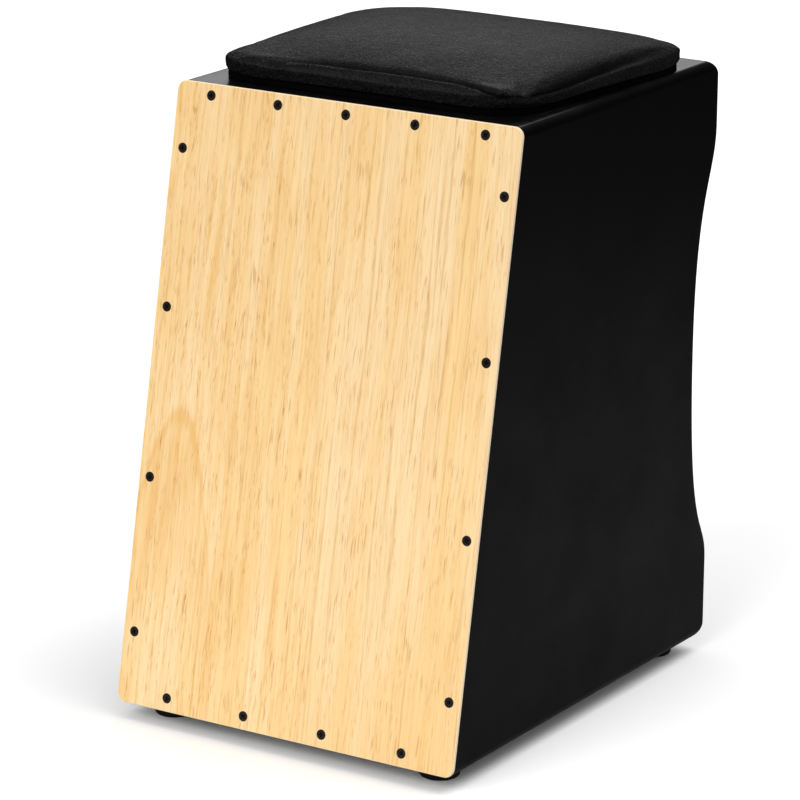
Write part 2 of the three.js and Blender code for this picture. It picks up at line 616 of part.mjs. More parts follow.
function addJack() {
  const mouth = PLATE_FACE + JACK_BUSHING_STAND;
  const shoulder = PLATE_BACK - SEAM;
  const boreEnd = mouth - JACK_BORE_DEPTH;
  const jack = turned([
    [0, boreEnd - JACK_END_WALL], [JACK_BODY_RADIUS, boreEnd - JACK_END_WALL], [JACK_BODY_RADIUS, shoulder],
    [JACK_BUSHING_RADIUS, shoulder], [JACK_BUSHING_RADIUS, mouth], [JACK_BORE_RADIUS, mouth],
    [JACK_BORE_RADIUS, boreEnd], [0, boreEnd],
  ]);
  place(cajon, "output_jack", jack, PLASTIC, [PLATE_OFFSET, 0, JACK_Z]);
  const nut = hexNut(JACK_NUT_FLATS, JACK_NUT_THICKNESS, JACK_BUSHING_RADIUS + SEAM);
  place(cajon, "jack_nut", nut, STEEL, [PLATE_OFFSET, PLATE_FACE + GLUE_LINE, JACK_Z]);
}

function addVolumeControl() {
  const shoulder = PLATE_BACK - SEAM;
  const collar = PLATE_FACE + POT_BUSHING_STAND;
  const bore = SHAFT_RADIUS + RUNNING_GAP;
  const pot = turned([
    [0, shoulder - POT_BODY_DEPTH], [POT_BODY_RADIUS, shoulder - POT_BODY_DEPTH], [POT_BODY_RADIUS, shoulder],
    [POT_BUSHING_RADIUS, shoulder], [POT_BUSHING_RADIUS, collar], [bore, collar],
    [bore, shoulder - SHAFT_SINK - SEAM], [0, shoulder - SHAFT_SINK - SEAM],
  ]);
  place(cajon, "volume_pot", pot, STEEL, [PLATE_OFFSET, 0, POT_Z]);
  const nut = hexNut(POT_NUT_FLATS, POT_NUT_THICKNESS, POT_BUSHING_RADIUS + SEAM);
  place(cajon, "pot_nut", nut, STEEL, [PLATE_OFFSET, PLATE_FACE + GLUE_LINE, POT_Z]);

  const shaftBase = shoulder - SHAFT_SINK;
  const shaftEnd = shaftBase + SHAFT_LENGTH;
  place(cajon, "pot_shaft", roundBar(SHAFT_RADIUS, shaftBase, shaftEnd), STEEL, [PLATE_OFFSET, 0, POT_Z]);
  const base = PLATE_FACE + KNOB_GAP;
  const top = base + KNOB_HEIGHT;
  const knob = turned([[0, base], [KNOB_RADIUS, base], [KNOB_TOP_RADIUS, top], [0, top]]);
  const hollow = turned([
    [0, base - OVERRUN], [KNOB_SKIRT_RADIUS, base - OVERRUN], [KNOB_SKIRT_RADIUS, base + KNOB_SKIRT_DEPTH],
    [SHAFT_RADIUS + SEAM, base + KNOB_SKIRT_DEPTH], [SHAFT_RADIUS + SEAM, shaftEnd + SEAM],
    [0, shaftEnd + SEAM],
  ]);
  const pointer = box(
    [-POINTER_WIDTH / 2, POINTER_WIDTH / 2],
    [top - POINTER_DEPTH, top + OVERRUN],
    [0, KNOB_RADIUS + OVERRUN]);
  place(cajon, "volume_knob", cut(knob, [hollow, pointer]), PLASTIC, [PLATE_OFFSET, 0, POT_Z]);
}

function addFeet() {
  const rim = FOOT_RIM;
  const bore = FOOT_SCREW.shank + SCREW_GAP;
  const sink = FOOT_SCREW.head + SCREW_GAP;
  const top = FOOT_HEIGHT - GLUE_LINE;
  const corner = [0, 1, 2].map((i) => {
    const turn = (Math.PI / 4) * i;
    return [FOOT_RADIUS - rim + rim * Math.sin(turn), rim - rim * Math.cos(turn)];
  });
  const seat = FOOT_SCREW_SINK + FOOT_SCREW.headHeight;
  const foot = turned([
    [sink, 0], ...corner, [FOOT_RADIUS, top], [bore, top], [bore, seat], [sink, FOOT_SCREW_SINK], [sink, 0],
  ]);
  const screw = screwGeometry(FOOT_SCREW);
  for (const { label, x, y } of footPlaces) {
    place(cajon, `foot_${label}`, upright(foot.clone()), RUBBER, [x, y, 0]);
    place(cajon, `foot_screw_${label}`, upright(screw.clone()), BLACK_SCREW, [x, y, FOOT_SCREW_SINK]);
  }
}

// The cushion's outline in plan: a squared oval, so its sides bow a little and its corners are soft
function cushionOutline(halfWidth, halfDepth) {
  const power = 2 / CUSHION_SQUARENESS;
  const points = [];
  for (let i = 0; i < CUSHION_STEPS; i += 1) {
    const turn = (2 * Math.PI * i) / CUSHION_STEPS;
    const [c, s] = [Math.cos(turn), Math.sin(turn)];
    const x = halfWidth * Math.sign(c) * Math.abs(c) ** power;
    const y = halfDepth * Math.sign(s) * Math.abs(s) ** power;
    points.push([x, y]);
  }
  return points;
}

function cushionGeometry() {
  const outline = cushionOutline(CUSHION_WIDTH / 2, CUSHION_DEPTH / 2);
  const [rim] = CUSHION_SIDE_SHARES.at(-1);
  const crown = (share) => CUSHION_EDGE + CUSHION_CROWN * (1 - (share / rim) ** CUSHION_CROWN_POWER);
  const rings = [
    ...CUSHION_SIDE_SHARES.map(([share, rise]) => [share, CUSHION_EDGE * rise]),
    ...CUSHION_CROWN_SHARES.map((share) => [share, crown(share)]),
  ];
  const positions = [0, 0, 0];
  for (const [share, z] of rings) {
    for (const [x, y] of outline) positions.push(x * share, y * share, z);
  }
  positions.push(0, 0, crown(0));
  const n = CUSHION_STEPS;
  const last = positions.length / 3 - 1;
  const faces = [];
  for (let i = 0; i < n; i += 1) {
    const j = (i + 1) % n;
    faces.push(0, 1 + j, 1 + i);
    for (let k = 0; k + 1 < rings.length; k += 1) {
      const [a, b] = [1 + k * n + i, 1 + k * n + j];
      faces.push(a, b, b + n, a, b + n, a + n);
    }
    faces.push(last, last - n + i, last - n + j);
  }
  const geometry = new THREE.BufferGeometry();
  geometry.setAttribute("position", new THREE.Float32BufferAttribute(positions, 3));
  geometry.setIndex(faces);
  return geometry;
}

function addCushion() {
  const baseZ = BOARD_TOP + GLUE_LINE;
  const half = [CUSHION_WIDTH / 2 - CUSHION_BASE_MARGIN, CUSHION_DEPTH / 2 - CUSHION_BASE_MARGIN];
  const outline = new THREE.Shape(cushionOutline(...half).map(([x, y]) => new THREE.Vector2(x, y)));
  const plate = new THREE.ExtrudeGeometry(outline, { depth: CUSHION_BASE_THICKNESS, bevelEnabled: false });
  const placed = plate.translate(CUSHION_SHIFT, CUSHION_CENTRE_Y, baseZ);
  place(cajon, "cushion_base", cut(placed, cushionScrewPlaces.map(cushionScrewHole)), PLASTIC);
  const cushionZ = baseZ + CUSHION_BASE_THICKNESS + SEAM;
  place(cajon, "cushion", cushionGeometry(), LEATHERETTE, [CUSHION_SHIFT, CUSHION_CENTRE_Y, cushionZ]);
  const screw = screwGeometry(CUSHION_SCREW);
  cushionScrewPlaces.forEach(({ x, y }, i) => {
    place(cajon, `cushion_screw_${i + 1}`, upright(screw.clone()), BLACK_SCREW, [x, y, TOP_BOARD_UNDERSIDE]);
  });
}

addShell();
addBackPanel();
addCornerStrips();
addTapa();
addSnares();
addPickup();
addJackPlate();
addJack();
addVolumeControl();
addFeet();
addCushion();

export default cajon;
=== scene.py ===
"""Electroacoustic cajon: the looks of the drum, its cushion and its fittings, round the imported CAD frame."""
import math

import bmesh
import bpy
import numpy as np
from mathutils import Matrix, Vector


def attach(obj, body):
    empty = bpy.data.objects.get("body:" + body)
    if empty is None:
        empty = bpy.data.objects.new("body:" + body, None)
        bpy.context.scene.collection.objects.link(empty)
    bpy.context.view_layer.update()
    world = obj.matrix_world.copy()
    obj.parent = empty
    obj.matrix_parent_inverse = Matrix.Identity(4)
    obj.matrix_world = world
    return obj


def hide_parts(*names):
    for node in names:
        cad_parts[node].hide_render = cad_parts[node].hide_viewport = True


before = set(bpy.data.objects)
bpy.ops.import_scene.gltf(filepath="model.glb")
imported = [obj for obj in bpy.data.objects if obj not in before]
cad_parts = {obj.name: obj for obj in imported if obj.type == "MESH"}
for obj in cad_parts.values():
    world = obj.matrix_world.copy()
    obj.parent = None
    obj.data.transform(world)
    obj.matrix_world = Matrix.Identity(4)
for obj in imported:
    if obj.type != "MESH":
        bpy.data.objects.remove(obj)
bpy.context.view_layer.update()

bl_info = {
    "name": "Electroacoustic Cajon",
    "version": (1, 0, 0),
    "blender": (4, 5, 0),
    "location": "3D View > Sidebar > Cajon",
    "description": "Builds a slant-fronted box drum with its cushion, screws, snares and jack plate",
    "category": "Add Mesh",
}

# Sizes of the CAD model, in millimetres
WIDTH = 315.0
SHELL_HEIGHT = 490.0
BASE_DEPTH = 400.0
TOP_DEPTH = 308.0
FOOT_HEIGHT = 13.0
SIDE_THICKNESS = 15.0
TOP_THICKNESS = 18.0
BOTTOM_THICKNESS = 15.0
BACK_THICKNESS = 6.0
TAPA_THICKNESS = 3.0
BACK_CORNER_RADIUS = 12.0
GLUE_LINE = 0.2
SEAM = 0.3
SCREW_GAP = 0.15
BACK_REVEAL = 3.0
GROOVE_DEPTH = 4.0
TOP_LAND = 53.0
BOTTOM_LAND = 67.0
FOOT_X = 125.0
FOOT_FRONT_Y = -165.5
FOOT_REAR_Y = 170.5

HALF_WIDTH = WIDTH / 2
INNER_HALF = HALF_WIDTH - SIDE_THICKNESS
UNDERSIDE = FOOT_HEIGHT
BOARD_TOP = UNDERSIDE + SHELL_HEIGHT
TOP_BOARD_UNDERSIDE = BOARD_TOP - TOP_THICKNESS
BOTTOM_BOARD_TOP = UNDERSIDE + BOTTOM_THICKNESS
BACK = BASE_DEPTH / 2
WAIST_Z = UNDERSIDE + 255.5
WAIST_Y = BACK - 30.5
SLOPE = math.atan2(BASE_DEPTH - TOP_DEPTH, SHELL_HEIGHT)
SLOPE_LENGTH = SHELL_HEIGHT / math.cos(SLOPE)
TAPA_FACE = -SEAM - TAPA_THICKNESS

SIDES = (("left", -1), ("right", 1))
CORNERS = ((-1, -1), (1, -1), (-1, 1), (1, 1))

# Screws: head radius, head height, shank radius, full length
TAPA_SCREW = (4.15, 2.2, 1.6, 20.0)
FOOT_SCREW = (4.0, 2.4, 2.0, 19.0)
CUSHION_SCREW = (4.0, 2.4, 2.0, 22.0)
SNARE_SCREW = (3.0, 1.8, 1.4, 15.0)
PLATE_SCREW = (2.8, 1.6, 1.2, 7.0)

# The tapa's screws: rows as (count, inset of the last ones, height up the slope), and those up its sides
TOP_ROW = (5, 32.3, SLOPE_LENGTH - 9.4)
BOTTOM_ROW = (4, 47.5, 10.8)
SIDE_INSET = 10.2
SIDE_LOW = 58.0
SIDE_HIGH = SLOPE_LENGTH - 53.2
SIDE_SHARES = (0.0, 0.323, 0.675, 1.0)

# Cushion and its base
CUSHION_CENTRE = (3.0, 37.0)
CUSHION_HALF = (147.0, 128.0)
BASE_LOW = BOARD_TOP + GLUE_LINE
BASE_HIGH = BASE_LOW + 5.0
PAD_LOW = BASE_HIGH + SEAM
PAD_CROWN = 26.7
PAD_FAN = 0.06
CROWN_START = 0.88
WALL_POWER = 0.6
SIDE_SWELL = 0.3
BOARD_INSET = 3.5
CLOTH_FRAMES = 20

# Snare rail and snares, up the slope
RAIL_TOP = (TOP_BOARD_UNDERSIDE - UNDERSIDE) / math.cos(SLOPE) - 120.0
SNARE_OFFSET = 72.0
SNARE_BLOCK = (28.0, 1.5, 7.8, 14.0)
SNARE_WIRES = 10
SNARE_WIRE_LENGTH = 104.0

# Jack plate and what it carries
PLATE_X = 98.0
PLATE_HALF = (22.0, 42.0)
PLATE_CORNER = 5.0
PLATE_OPENING = (12.5, 33.0)
PLATE_BACK = 165.5
PLATE_FACE = 168.0
PLATE_SCREW_REACH = (17.0, 37.0)
JACK_Z = WAIST_Z - 20.0
POT_Z = WAIST_Z + 18.0


def front_plane(z):
    """Y of the boards' front edges at height z: a straight slant behind the tapa."""
    lean = (z - UNDERSIDE) * math.tan(SLOPE)
    return lean - BASE_DEPTH / 2 + (TAPA_THICKNESS + SEAM) / math.cos(SLOPE)


FRONT = Matrix.Translation((0, front_plane(UNDERSIDE), UNDERSIDE)) @ Matrix.Rotation(-SLOPE, 4, "X")


def linear(red, green, blue):
    """Scene-linear colour of sRGB values in 0 to 255: below 0.04045 c/12.92, else ((c+0.055)/1.055)^2.4."""
    share = np.array([red, green, blue]) / 255
    value = np.where(share <= 0.04045, share / 12.92, ((share + 0.055) / 1.055) ** 2.4)
    return tuple(float(v) for v in value)


def length_of(name, text, millimetres):
    """A length setting, in metres as Blender keeps it."""
    return bpy.props.FloatProperty(
        name=name, description=text, default=millimetres / 1000, min=0.0, unit="LENGTH", precision=5)


def colour_of(name, text, red, green, blue):
    """A colour setting with an sRGB default in 0 to 255."""
    return bpy.props.FloatVectorProperty(
        name=name, description=text, default=linear(red, green, blue), size=3, min=0.0, max=1.0,
        subtype="COLOR")


class CajonSizes(bpy.types.PropertyGroup):
    long_edge: length_of("Long edge round", "Radius of the side panels' top and bottom edges", 8.0)
    back_edge: length_of("Back edge round", "Radius of the side panels' waisted back edges", 1.8)
    board_arris: length_of("Board arris", "Radius that takes the sharpness off the boards' ends", 0.05)
    tapa_corner: length_of("Tapa corner", "Radius of the tapa's corners", 8.0)
    tapa_arris: length_of("Tapa arris", "Sanded radius round the tapa's face", 0.8)
    sound_hole: length_of("Sound hole", "Radius of the sound hole", 55.0)
    hole_rim: length_of("Sound hole rim", "Radius of the sound hole's rounded rim", 2.0)
    foot_radius: length_of("Foot radius", "Radius of a rubber foot", 16.0)
    wire_radius: length_of("Snare wire", "Radius of the wire that the snares are coiled from", 0.16)
    coil_radius: length_of("Snare coil", "Radius of a snare's coil at the middle of its wire", 0.36)
    pad_swell: length_of("Cushion swell", "Furthest that the stuffing may push the cushion's cover", 3.2)
    wrinkle: length_of("Cushion wrinkle", "Height of the wrinkles on the cushion's front roll", 0.75)
    crease: length_of("Cushion crease", "Depth of the valley behind the cushion's front roll", 3.2)


class CajonColours(bpy.types.PropertyGroup):
    wood: colour_of("Tapa", "Ground colour of the tapa's veneer", 251, 216, 156)
    wood_light: colour_of("Tapa light band", "Palest bands of the veneer", 253, 225, 177)
    wood_streak: colour_of("Tapa streak", "Darker streaks of the veneer", 240, 192, 120)
    wood_pore: colour_of("Tapa pore", "Fine pores of the veneer", 200, 138, 72)
    wood_line: colour_of("Tapa line", "Long fine lines of the veneer", 212, 156, 86)
    veneer_edge: colour_of("Veneer edge", "Cut edge of the face veneer", 214, 172, 116)
    ply_core: colour_of("Ply core", "Core of the tapa's thin ply", 252, 234, 204)
    paint: colour_of("Black paint", "Satin paint of the shell", 3, 3, 3)
    leather: colour_of("Leatherette", "Cover of the cushion", 22, 22, 23)
    pine: colour_of("Inner wood", "Raw wood of the strips and the rail", 214, 176, 122)
    rubber: colour_of("Rubber", "Feet", 17, 17, 17)
    plastic: colour_of("Plastic", "Jack plate, knob and jack", 21, 21, 23)
    pointer: colour_of("Pointer", "Line on the knob", 226, 226, 222)


def millimetres(name):
    """One of the length settings, in millimetres."""
    return getattr(bpy.context.scene.cajon_sizes, name) * 1000


def colour(name):
    """One of the colour settings, with an alpha of 1."""
    return (*getattr(bpy.context.scene.cajon_colours, name), 1.0)


def grey(value):
    """A neutral scene-linear colour with an alpha of 1."""
    return (value, value, value, 1.0)


# Surfaces and solids


def quads(rows, columns, close_rows=False, close_columns=True):
    """Corner numbers of the quads of a grid whose points are numbered row by row."""
    row = np.arange(rows if close_rows else rows - 1)[:, None]
    column = np.arange(columns if close_columns else columns - 1)[None, :]
    below, above = row * columns, ((row + 1) % rows) * columns
    after = (column + 1) % columns
    return np.stack([below + column, below + after, above + after, above + column], -1).reshape(-1, 4)


def mesh_of(name, grids, caps=(), matrix=None):
    """A closed mesh from grids of points in millimetres, each (points, close_rows, close_columns), and loops
    that one flat face fills. Points that meet are joined, and the faces are turned to look outwards."""
    points, faces, start = [], [], 0
    for grid, close_rows, close_columns in grids:
        rows, columns = grid.shape[:2]
        faces += (quads(rows, columns, close_rows, close_columns) + start).tolist()
        points.append(grid.reshape(-1, 3))
        start += rows * columns
    for cap in caps:
        faces.append(list(range(start, start + len(cap))))
        points.append(cap)
        start += len(cap)
    place = Matrix.Scale(0.001, 4) @ (matrix or Matrix())
    turn = np.array(place)
    metres = np.concatenate(points) @ turn[:3, :3].T + turn[:3, 3]
    mesh = bpy.data.meshes.new(name)
    mesh.from_pydata(metres.tolist(), [], faces)
    work = bmesh.new()
    work.from_mesh(mesh)
    bmesh.ops.remove_doubles(work, verts=work.verts, dist=2e-7)
    bmesh.ops.dissolve_degenerate(work, edges=work.edges, dist=1e-7)
    bmesh.ops.recalc_face_normals(work, faces=work.faces)
    work.to_mesh(mesh)
    work.free()
    return mesh


def piece_of(name, mesh, material, node, body="drum", sharp=35.0, even=False):
    """Puts a mesh in the scene as a named piece that rides on a body and stands for a CAD node. Edges sharper
    than an angle in degrees stay crisp. even lets large flat faces lead the shading beside narrow rounds."""
    made = bpy.data.objects.new(name, mesh)
    bpy.context.scene.collection.objects.link(made)
    mesh.materials.clear()
    mesh.materials.append(finish(material))
    mesh.shade_smooth()
    mesh.set_sharp_from_angle(angle=math.radians(sharp))
    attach(made, body)
    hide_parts(node)
    if even:
        modifier = made.modifiers.new("even normals", "WEIGHTED_NORMAL")
        modifier.keep_sharp = True
        modifier.weight = 100
    return made


def finished_mesh(thing, name):
    """The mesh of a thing with its modifiers worked in."""
    bpy.context.view_layer.update()
    graph = bpy.context.evaluated_depsgraph_get()
    mesh = bpy.data.meshes.new_from_object(thing.evaluated_get(graph))
    mesh.name = name
    return mesh


def carved(mesh, cutters):
    """A mesh with closed cutters taken out of it."""
    body, *tools = [bpy.data.objects.new("blank", shape) for shape in (mesh, *cutters)]
    for thing in (body, *tools):
        bpy.context.scene.collection.objects.link(thing)
    for tool in tools:
        modifier = body.modifiers.new("cut", "BOOLEAN")
        modifier.operation = "DIFFERENCE"
        modifier.solver = "EXACT"
        modifier.object = tool
    done = finished_mesh(body, mesh.name + "_mesh")
    for thing in (body, *tools):
        bpy.data.objects.remove(thing)
    return done


def arc(centre, radius, start, end, steps):
    """Points on a circle: centre + radius (cos t, sin t), for even steps of t in degrees."""
    turn = np.radians(np.linspace(start, end, steps + 1))
    return np.stack([centre[0] + radius * np.cos(turn), centre[1] + radius * np.sin(turn)], -1)


def rounded_rectangle(low, high, radius, steps):
    """A rectangle's outline with quarter circles for corners, and its inward unit slide at each point."""
    inner = [(high[0] - radius, low[1] + radius), (high[0] - radius, high[1] - radius),
             (low[0] + radius, high[1] - radius), (low[0] + radius, low[1] + radius)]
    starts = (-90, 0, 90, 180)
    outline = np.concatenate([arc(c, radius, s, s + 90, steps) for c, s in zip(inner, starts)])
    slide = -np.concatenate([arc((0, 0), 1.0, s, s + 90, steps) for s in starts])
    return outline, slide


def slab(outline, slide, near, far, steps):
    """A board between two planes, as rings of (a, b, depth). A quarter round joins its rim to each face:
    inwards along the slide by r(1 - cos t), and r(1 - sin t) short of it. near and far are (depth, r)."""
    turn = np.radians(np.linspace(0, 90, steps + 1))
    rings = []
    for (depth, radius), sign in ((near, 1), (far, -1)):
        radius = np.broadcast_to(radius, len(outline))
        inwards = (1 - np.cos(turn))[:, None] * radius
        short = (1 - np.sin(turn))[:, None] * radius
        ring = np.empty((steps + 1, len(outline), 3))
        ring[..., :2] = outline + inwards[..., None] * slide
        ring[..., 2] = depth + sign * short
        rings.append(ring[::-1] if sign > 0 else ring)
    return np.concatenate(rings)


def slab_mesh(name, rings, order, matrix=None):
    """A closed board from its rings. order says which of (a, b, depth) are X, Y and Z."""
    grid = rings[..., order]
    return mesh_of(name, [(grid, False, True)], [grid[0], grid[-1]], matrix)


def block_mesh(name, low, high, corner, near, far, steps=1, corner_steps=12, matrix=None):
    """A rounded rectangle in X and Z, made solid along Y. near and far are (depth, edge radius)."""
    outline, slide = rounded_rectangle(low, high, corner, corner_steps)
    return slab_mesh(name, slab(outline, slide, near, far, steps), [0, 2, 1], matrix)


def turned_mesh(name, profile, segments, centre=(0, 0, 0), axis="y", wave=None, ring=False, matrix=None):
    """A solid of revolution from a profile of (radius, height): radius (cos t, sin t) beside the axis, height
    along it. wave(t, height) may scale the radius round the turn. ring joins the profile's two ends."""
    turn = np.linspace(0, 2 * np.pi, segments, endpoint=False)
    radius, height = (np.repeat(part, segments, 1) for part in np.hsplit(np.array(profile, float), 2))
    if wave is not None:
        radius = radius * wave(turn[None, :], height)
    across, up = radius * np.cos(turn), radius * np.sin(turn)
    order = (across, height, up) if axis == "y" else (across, up, height)
    return mesh_of(name, [(np.stack(order, -1) + np.array(centre, float), ring, True)], matrix=matrix)


def bezier(points, count):
    """A cubic Bezier: four points weighed by (1-t)^3, 3t(1-t)^2, 3t^2(1-t) and t^3, at even steps of t."""
    t = np.linspace(0, 1, count)[:, None]
    a, b, c, d = np.asarray(points, float)
    return (1 - t) ** 3 * a + 3 * t * (1 - t) ** 2 * b + 3 * t * t * (1 - t) * c + t**3 * d


def back_line(z_top, z_bottom, count=72):
    """The waisted back from one height down to another, in Y and Z: a land, two Beziers that meet at the
    waist, and a land."""
    upper = BOARD_TOP - TOP_LAND - WAIST_Z
    lower = WAIST_Z - UNDERSIDE - BOTTOM_LAND
    fall = bezier([(BACK, WAIST_Z + upper), (BACK, WAIST_Z + upper * 0.765),
                   (WAIST_Y, WAIST_Z + upper * 0.73), (WAIST_Y, WAIST_Z)], count)
    rise = bezier([(WAIST_Y, WAIST_Z), (WAIST_Y, WAIST_Z - lower * 0.913),
                   (BACK, WAIST_Z - lower * 0.783), (BACK, WAIST_Z - lower)], count)
    return np.concatenate([[(BACK, z_top)], fall, rise[1:], [(BACK, z_bottom)]])


def line_normals(line):
    """Unit vectors square to a line, a quarter turn to the left of its run: out of the drum for a line that
    runs down its back."""
    along = np.gradient(line, axis=0)
    along /= np.linalg.norm(along, axis=1)[:, None]
    return np.stack([-along[:, 1], along[:, 0]], -1)


def front_edge(low, high):
    """The front ends of a board between two heights, in Y and Z, and their slides inwards."""
    slant = math.tan(SLOPE)
    return [(front_plane(low), low), (front_plane(high), high)], [(slant, 1.0), (-slant, -1.0)]


def back_corner(first, last, start):
    """A back corner of the box, from an angle down by a quarter turn: its arc, the slide to its centre, and
    an edge radius that eases from one value to the other by 3s^2 - 2s^3."""
    steps = 14
    centre_z = BOARD_TOP - BACK_CORNER_RADIUS if start > 0 else UNDERSIDE + BACK_CORNER_RADIUS
    centre = (BACK - BACK_CORNER_RADIUS, centre_z)
    share = np.linspace(0, 1, steps + 1)
    ease = share * share * (3 - 2 * share)
    outline = arc(centre, BACK_CORNER_RADIUS, start, start - 90, steps)
    slide = -arc((0, 0), 1.0, start, start - 90, steps)
    return outline, slide, first + (last - first) * ease


def side_panel_rings(side):
    """Rings of a side panel. The rim follows the front slant, the top, the waisted back and the bottom; the
    outer edge is round by a radius that changes along it, and the inner one by a small arris."""
    long_edge, back_edge = millimetres("long_edge"), millimetres("back_edge")
    front, front_slide = front_edge(UNDERSIDE, BOARD_TOP)
    upper, upper_slide, upper_radius = back_corner(long_edge, back_edge, 90)
    lower, lower_slide, lower_radius = back_corner(back_edge, long_edge, 0)
    line = back_line(BOARD_TOP - BACK_CORNER_RADIUS, UNDERSIDE + BACK_CORNER_RADIUS)[1:-1]
    outline = np.concatenate([front, upper, line, lower])
    slide = np.concatenate([front_slide, upper_slide, -line_normals(line), lower_slide])
    radius = np.concatenate([[long_edge] * 2, upper_radius, [back_edge] * len(line), lower_radius])
    inner = (side * INNER_HALF, millimetres("board_arris"))
    outer = (side * HALF_WIDTH, radius)
    near, far = (inner, outer) if side > 0 else (outer, inner)
    return slab(outline, slide, near, far, 9)


# Materials

# The grain's arch low on the tapa's left, in millimetres: how far its middle lies left of the tapa's, how high
# its top is up the slope, and how fast it opens
ARCH_MIDDLE = 124.5
ARCH_TOP = 240.0
ARCH_BOW = 0.072

# The slanting creases of the leatherette: their size in metres, and their turn
STROKE_SIZE = (0.0085, 0.0022, 0.0022)
STROKE_TURN = (0, 0.6155, -0.785)


class Graph:
    """Adds nodes to a node tree. An input may be a number, a colour or another node's socket."""

    def __init__(self, tree):
        self.tree = tree

    def node(self, kind, inputs=None, **settings):
        made = self.tree.nodes.new(kind)
        for key, value in settings.items():
            setattr(made, key, value)
        for key, value in (inputs or {}).items():
            if isinstance(value, bpy.types.NodeSocket):
                self.tree.links.new(value, made.inputs[key])
            else:
                made.inputs[key].default_value = value
        return made

    def place(self):
        return self.node("ShaderNodeTexCoord").outputs["Object"]

    def normal(self):
        return self.node("ShaderNodeNewGeometry").outputs["Normal"]

    def scaled(self, vector, scale, shift=(0, 0, 0), turn=(0, 0, 0), **settings):
        inputs = {"Vector": vector, "Scale": scale, "Location": shift, "Rotation": turn}
        return self.node("ShaderNodeMapping", inputs, **settings).outputs[0]

    def millimetres(self, shift=(0, 0, 0), turn=(0, 0, 0)):
        """Object places in millimetres, turned and then shifted."""
        return self.scaled(self.place(), (1000, 1000, 1000), shift, turn)

    def math(self, operation, *values, clamp=False):
        made = self.node("ShaderNodeMath", dict(enumerate(values)), operation=operation, use_clamp=clamp)
        return made.outputs[0]

    def chain(self, operation, values, clamp):
        total = values[0]
        for value in values[1:-1]:
            total = self.math(operation, total, value)
        return self.math(operation, total, values[-1], clamp=clamp)

    def plus(self, *values, clamp=False):
        return self.chain("ADD", values, clamp)

    def times(self, *values, clamp=False):
        return self.chain("MULTIPLY", values, clamp)

    def minus(self, a, b):
        return self.math("SUBTRACT", a, b)

    def over(self, a, b):
        return self.math("DIVIDE", a, b)

    def vector(self, operation, *values):
        return self.node("ShaderNodeVectorMath", dict(enumerate(values)), operation=operation).outputs

    def along(self, a, b):
        return self.vector("DOT_PRODUCT", a, b)["Value"]

    def noise(self, vector, scale=1.0, detail=2.0, roughness=0.5):
        inputs = {"Vector": vector, "Scale": scale, "Detail": detail, "Roughness": roughness}
        return self.node("ShaderNodeTexNoise", inputs).outputs["Fac"]

    def ramp(self, value, low, high, start=0.0, end=1.0):
        inputs = {"Value": value, "From Min": low, "From Max": high, "To Min": start, "To Max": end}
        return self.node("ShaderNodeMapRange", inputs, interpolation_type="SMOOTHSTEP").outputs[0]

    def mix(self, share, a, b):
        inputs = {0: share, 6: a, 7: b}
        return self.node("ShaderNodeMix", inputs, data_type="RGBA", clamp_factor=True).outputs[2]

    def axes(self, vector):
        return self.node("ShaderNodeSeparateXYZ", {"Vector": vector}).outputs

    def joined(self, x, y, z):
        return self.node("ShaderNodeCombineXYZ", {0: x, 1: y, 2: z}).outputs[0]

    def bump(self, height, distance, strength):
        inputs = {"Height": height, "Distance": distance, "Strength": strength}
        return self.node("ShaderNodeBump", inputs).outputs[0]

    def effect(self, name, inputs, vector=None):
        """The outputs of a shared effect, which sees Object places in metres unless a vector is given."""
        inputs = {"Vector": self.place() if vector is None else vector, **inputs}
        return self.node("ShaderNodeGroup", inputs, node_tree=effect_tree(name)).outputs

    def patchy(self, size, low, high):
        return self.effect("mottle", {"Size": size, "Low": low, "High": high})["Value"]

    def rubbed(self, reach, amount):
        return self.effect("edge rub", {"Reach": reach, "Amount": amount})["Mask"]

    def dusty(self, amount):
        return self.effect("settled dust", {"Amount": amount})["Mask"]

    def skin(self, size):
        return self.effect("fine skin", {"Size": size})["Height"]


def graph_of(holder):
    """The emptied node tree of a material or a world, to be filled."""
    holder.use_nodes = True
    holder.node_tree.nodes.clear()
    return Graph(holder.node_tree)


def wood_grain(g, given):
    """Long streaks, broad bands and short pores that run along Z, for places in millimetres. Across is the
    place across the grain, bent as the grain is."""
    x, y, z = g.axes(given["Vector"])
    slow = g.noise(g.scaled(given["Vector"], (1 / 95, 1 / 95, 1 / 210)), 1.0, 1.5)
    fast = g.noise(g.scaled(given["Vector"], (1 / 26, 1 / 26, 1 / 58), (7, 3, 11)), 1.0, 1.0)
    bend = g.plus(g.minus(slow, 0.5), g.times(g.minus(fast, 0.5), 0.22))
    bent = g.plus(x, g.times(bend, g.times(given["Wander"], 2.0)))
    made = {}
    for label, kind, length, detail, shift, low, high in (
            ("Bands", "Band Width", 520.0, 2.0, 3.7, 0.34, 0.66),
            ("Streaks", "Streak Width", 105.0, 3.0, 40.3, 0.4, 0.68),
            ("Lines", "Line Width", 75.0, 2.0, 70.9, 0.44, 0.68),
            ("Fibres", "Pore Width", 60.0, 2.0, 90.1, 0.3, 0.7),
            ("Pores", "Pore Width", given["Pore Length"], 1.0, 160.9, 0.58, 0.72)):
        across = g.plus(g.over(bent, given[kind]), shift)
        stretched = g.joined(across, g.over(y, given[kind]), g.over(z, length))
        made[label] = g.ramp(g.noise(stretched, 1.0, detail, 0.55), low, high)
    made["Across"] = bent
    return made


def mottle(g, given):
    """Soft uneven patches between two values, as handling leaves on a finish, for places in metres."""
    value = g.noise(given["Vector"], g.over(1.0, given["Size"]), 4.0, 0.6)
    inputs = {"Value": value, "From Min": 0.3, "From Max": 0.7, "To Min": given["Low"],
              "To Max": given["High"]}
    return {"Value": g.node("ShaderNodeMapRange", inputs).outputs[0]}


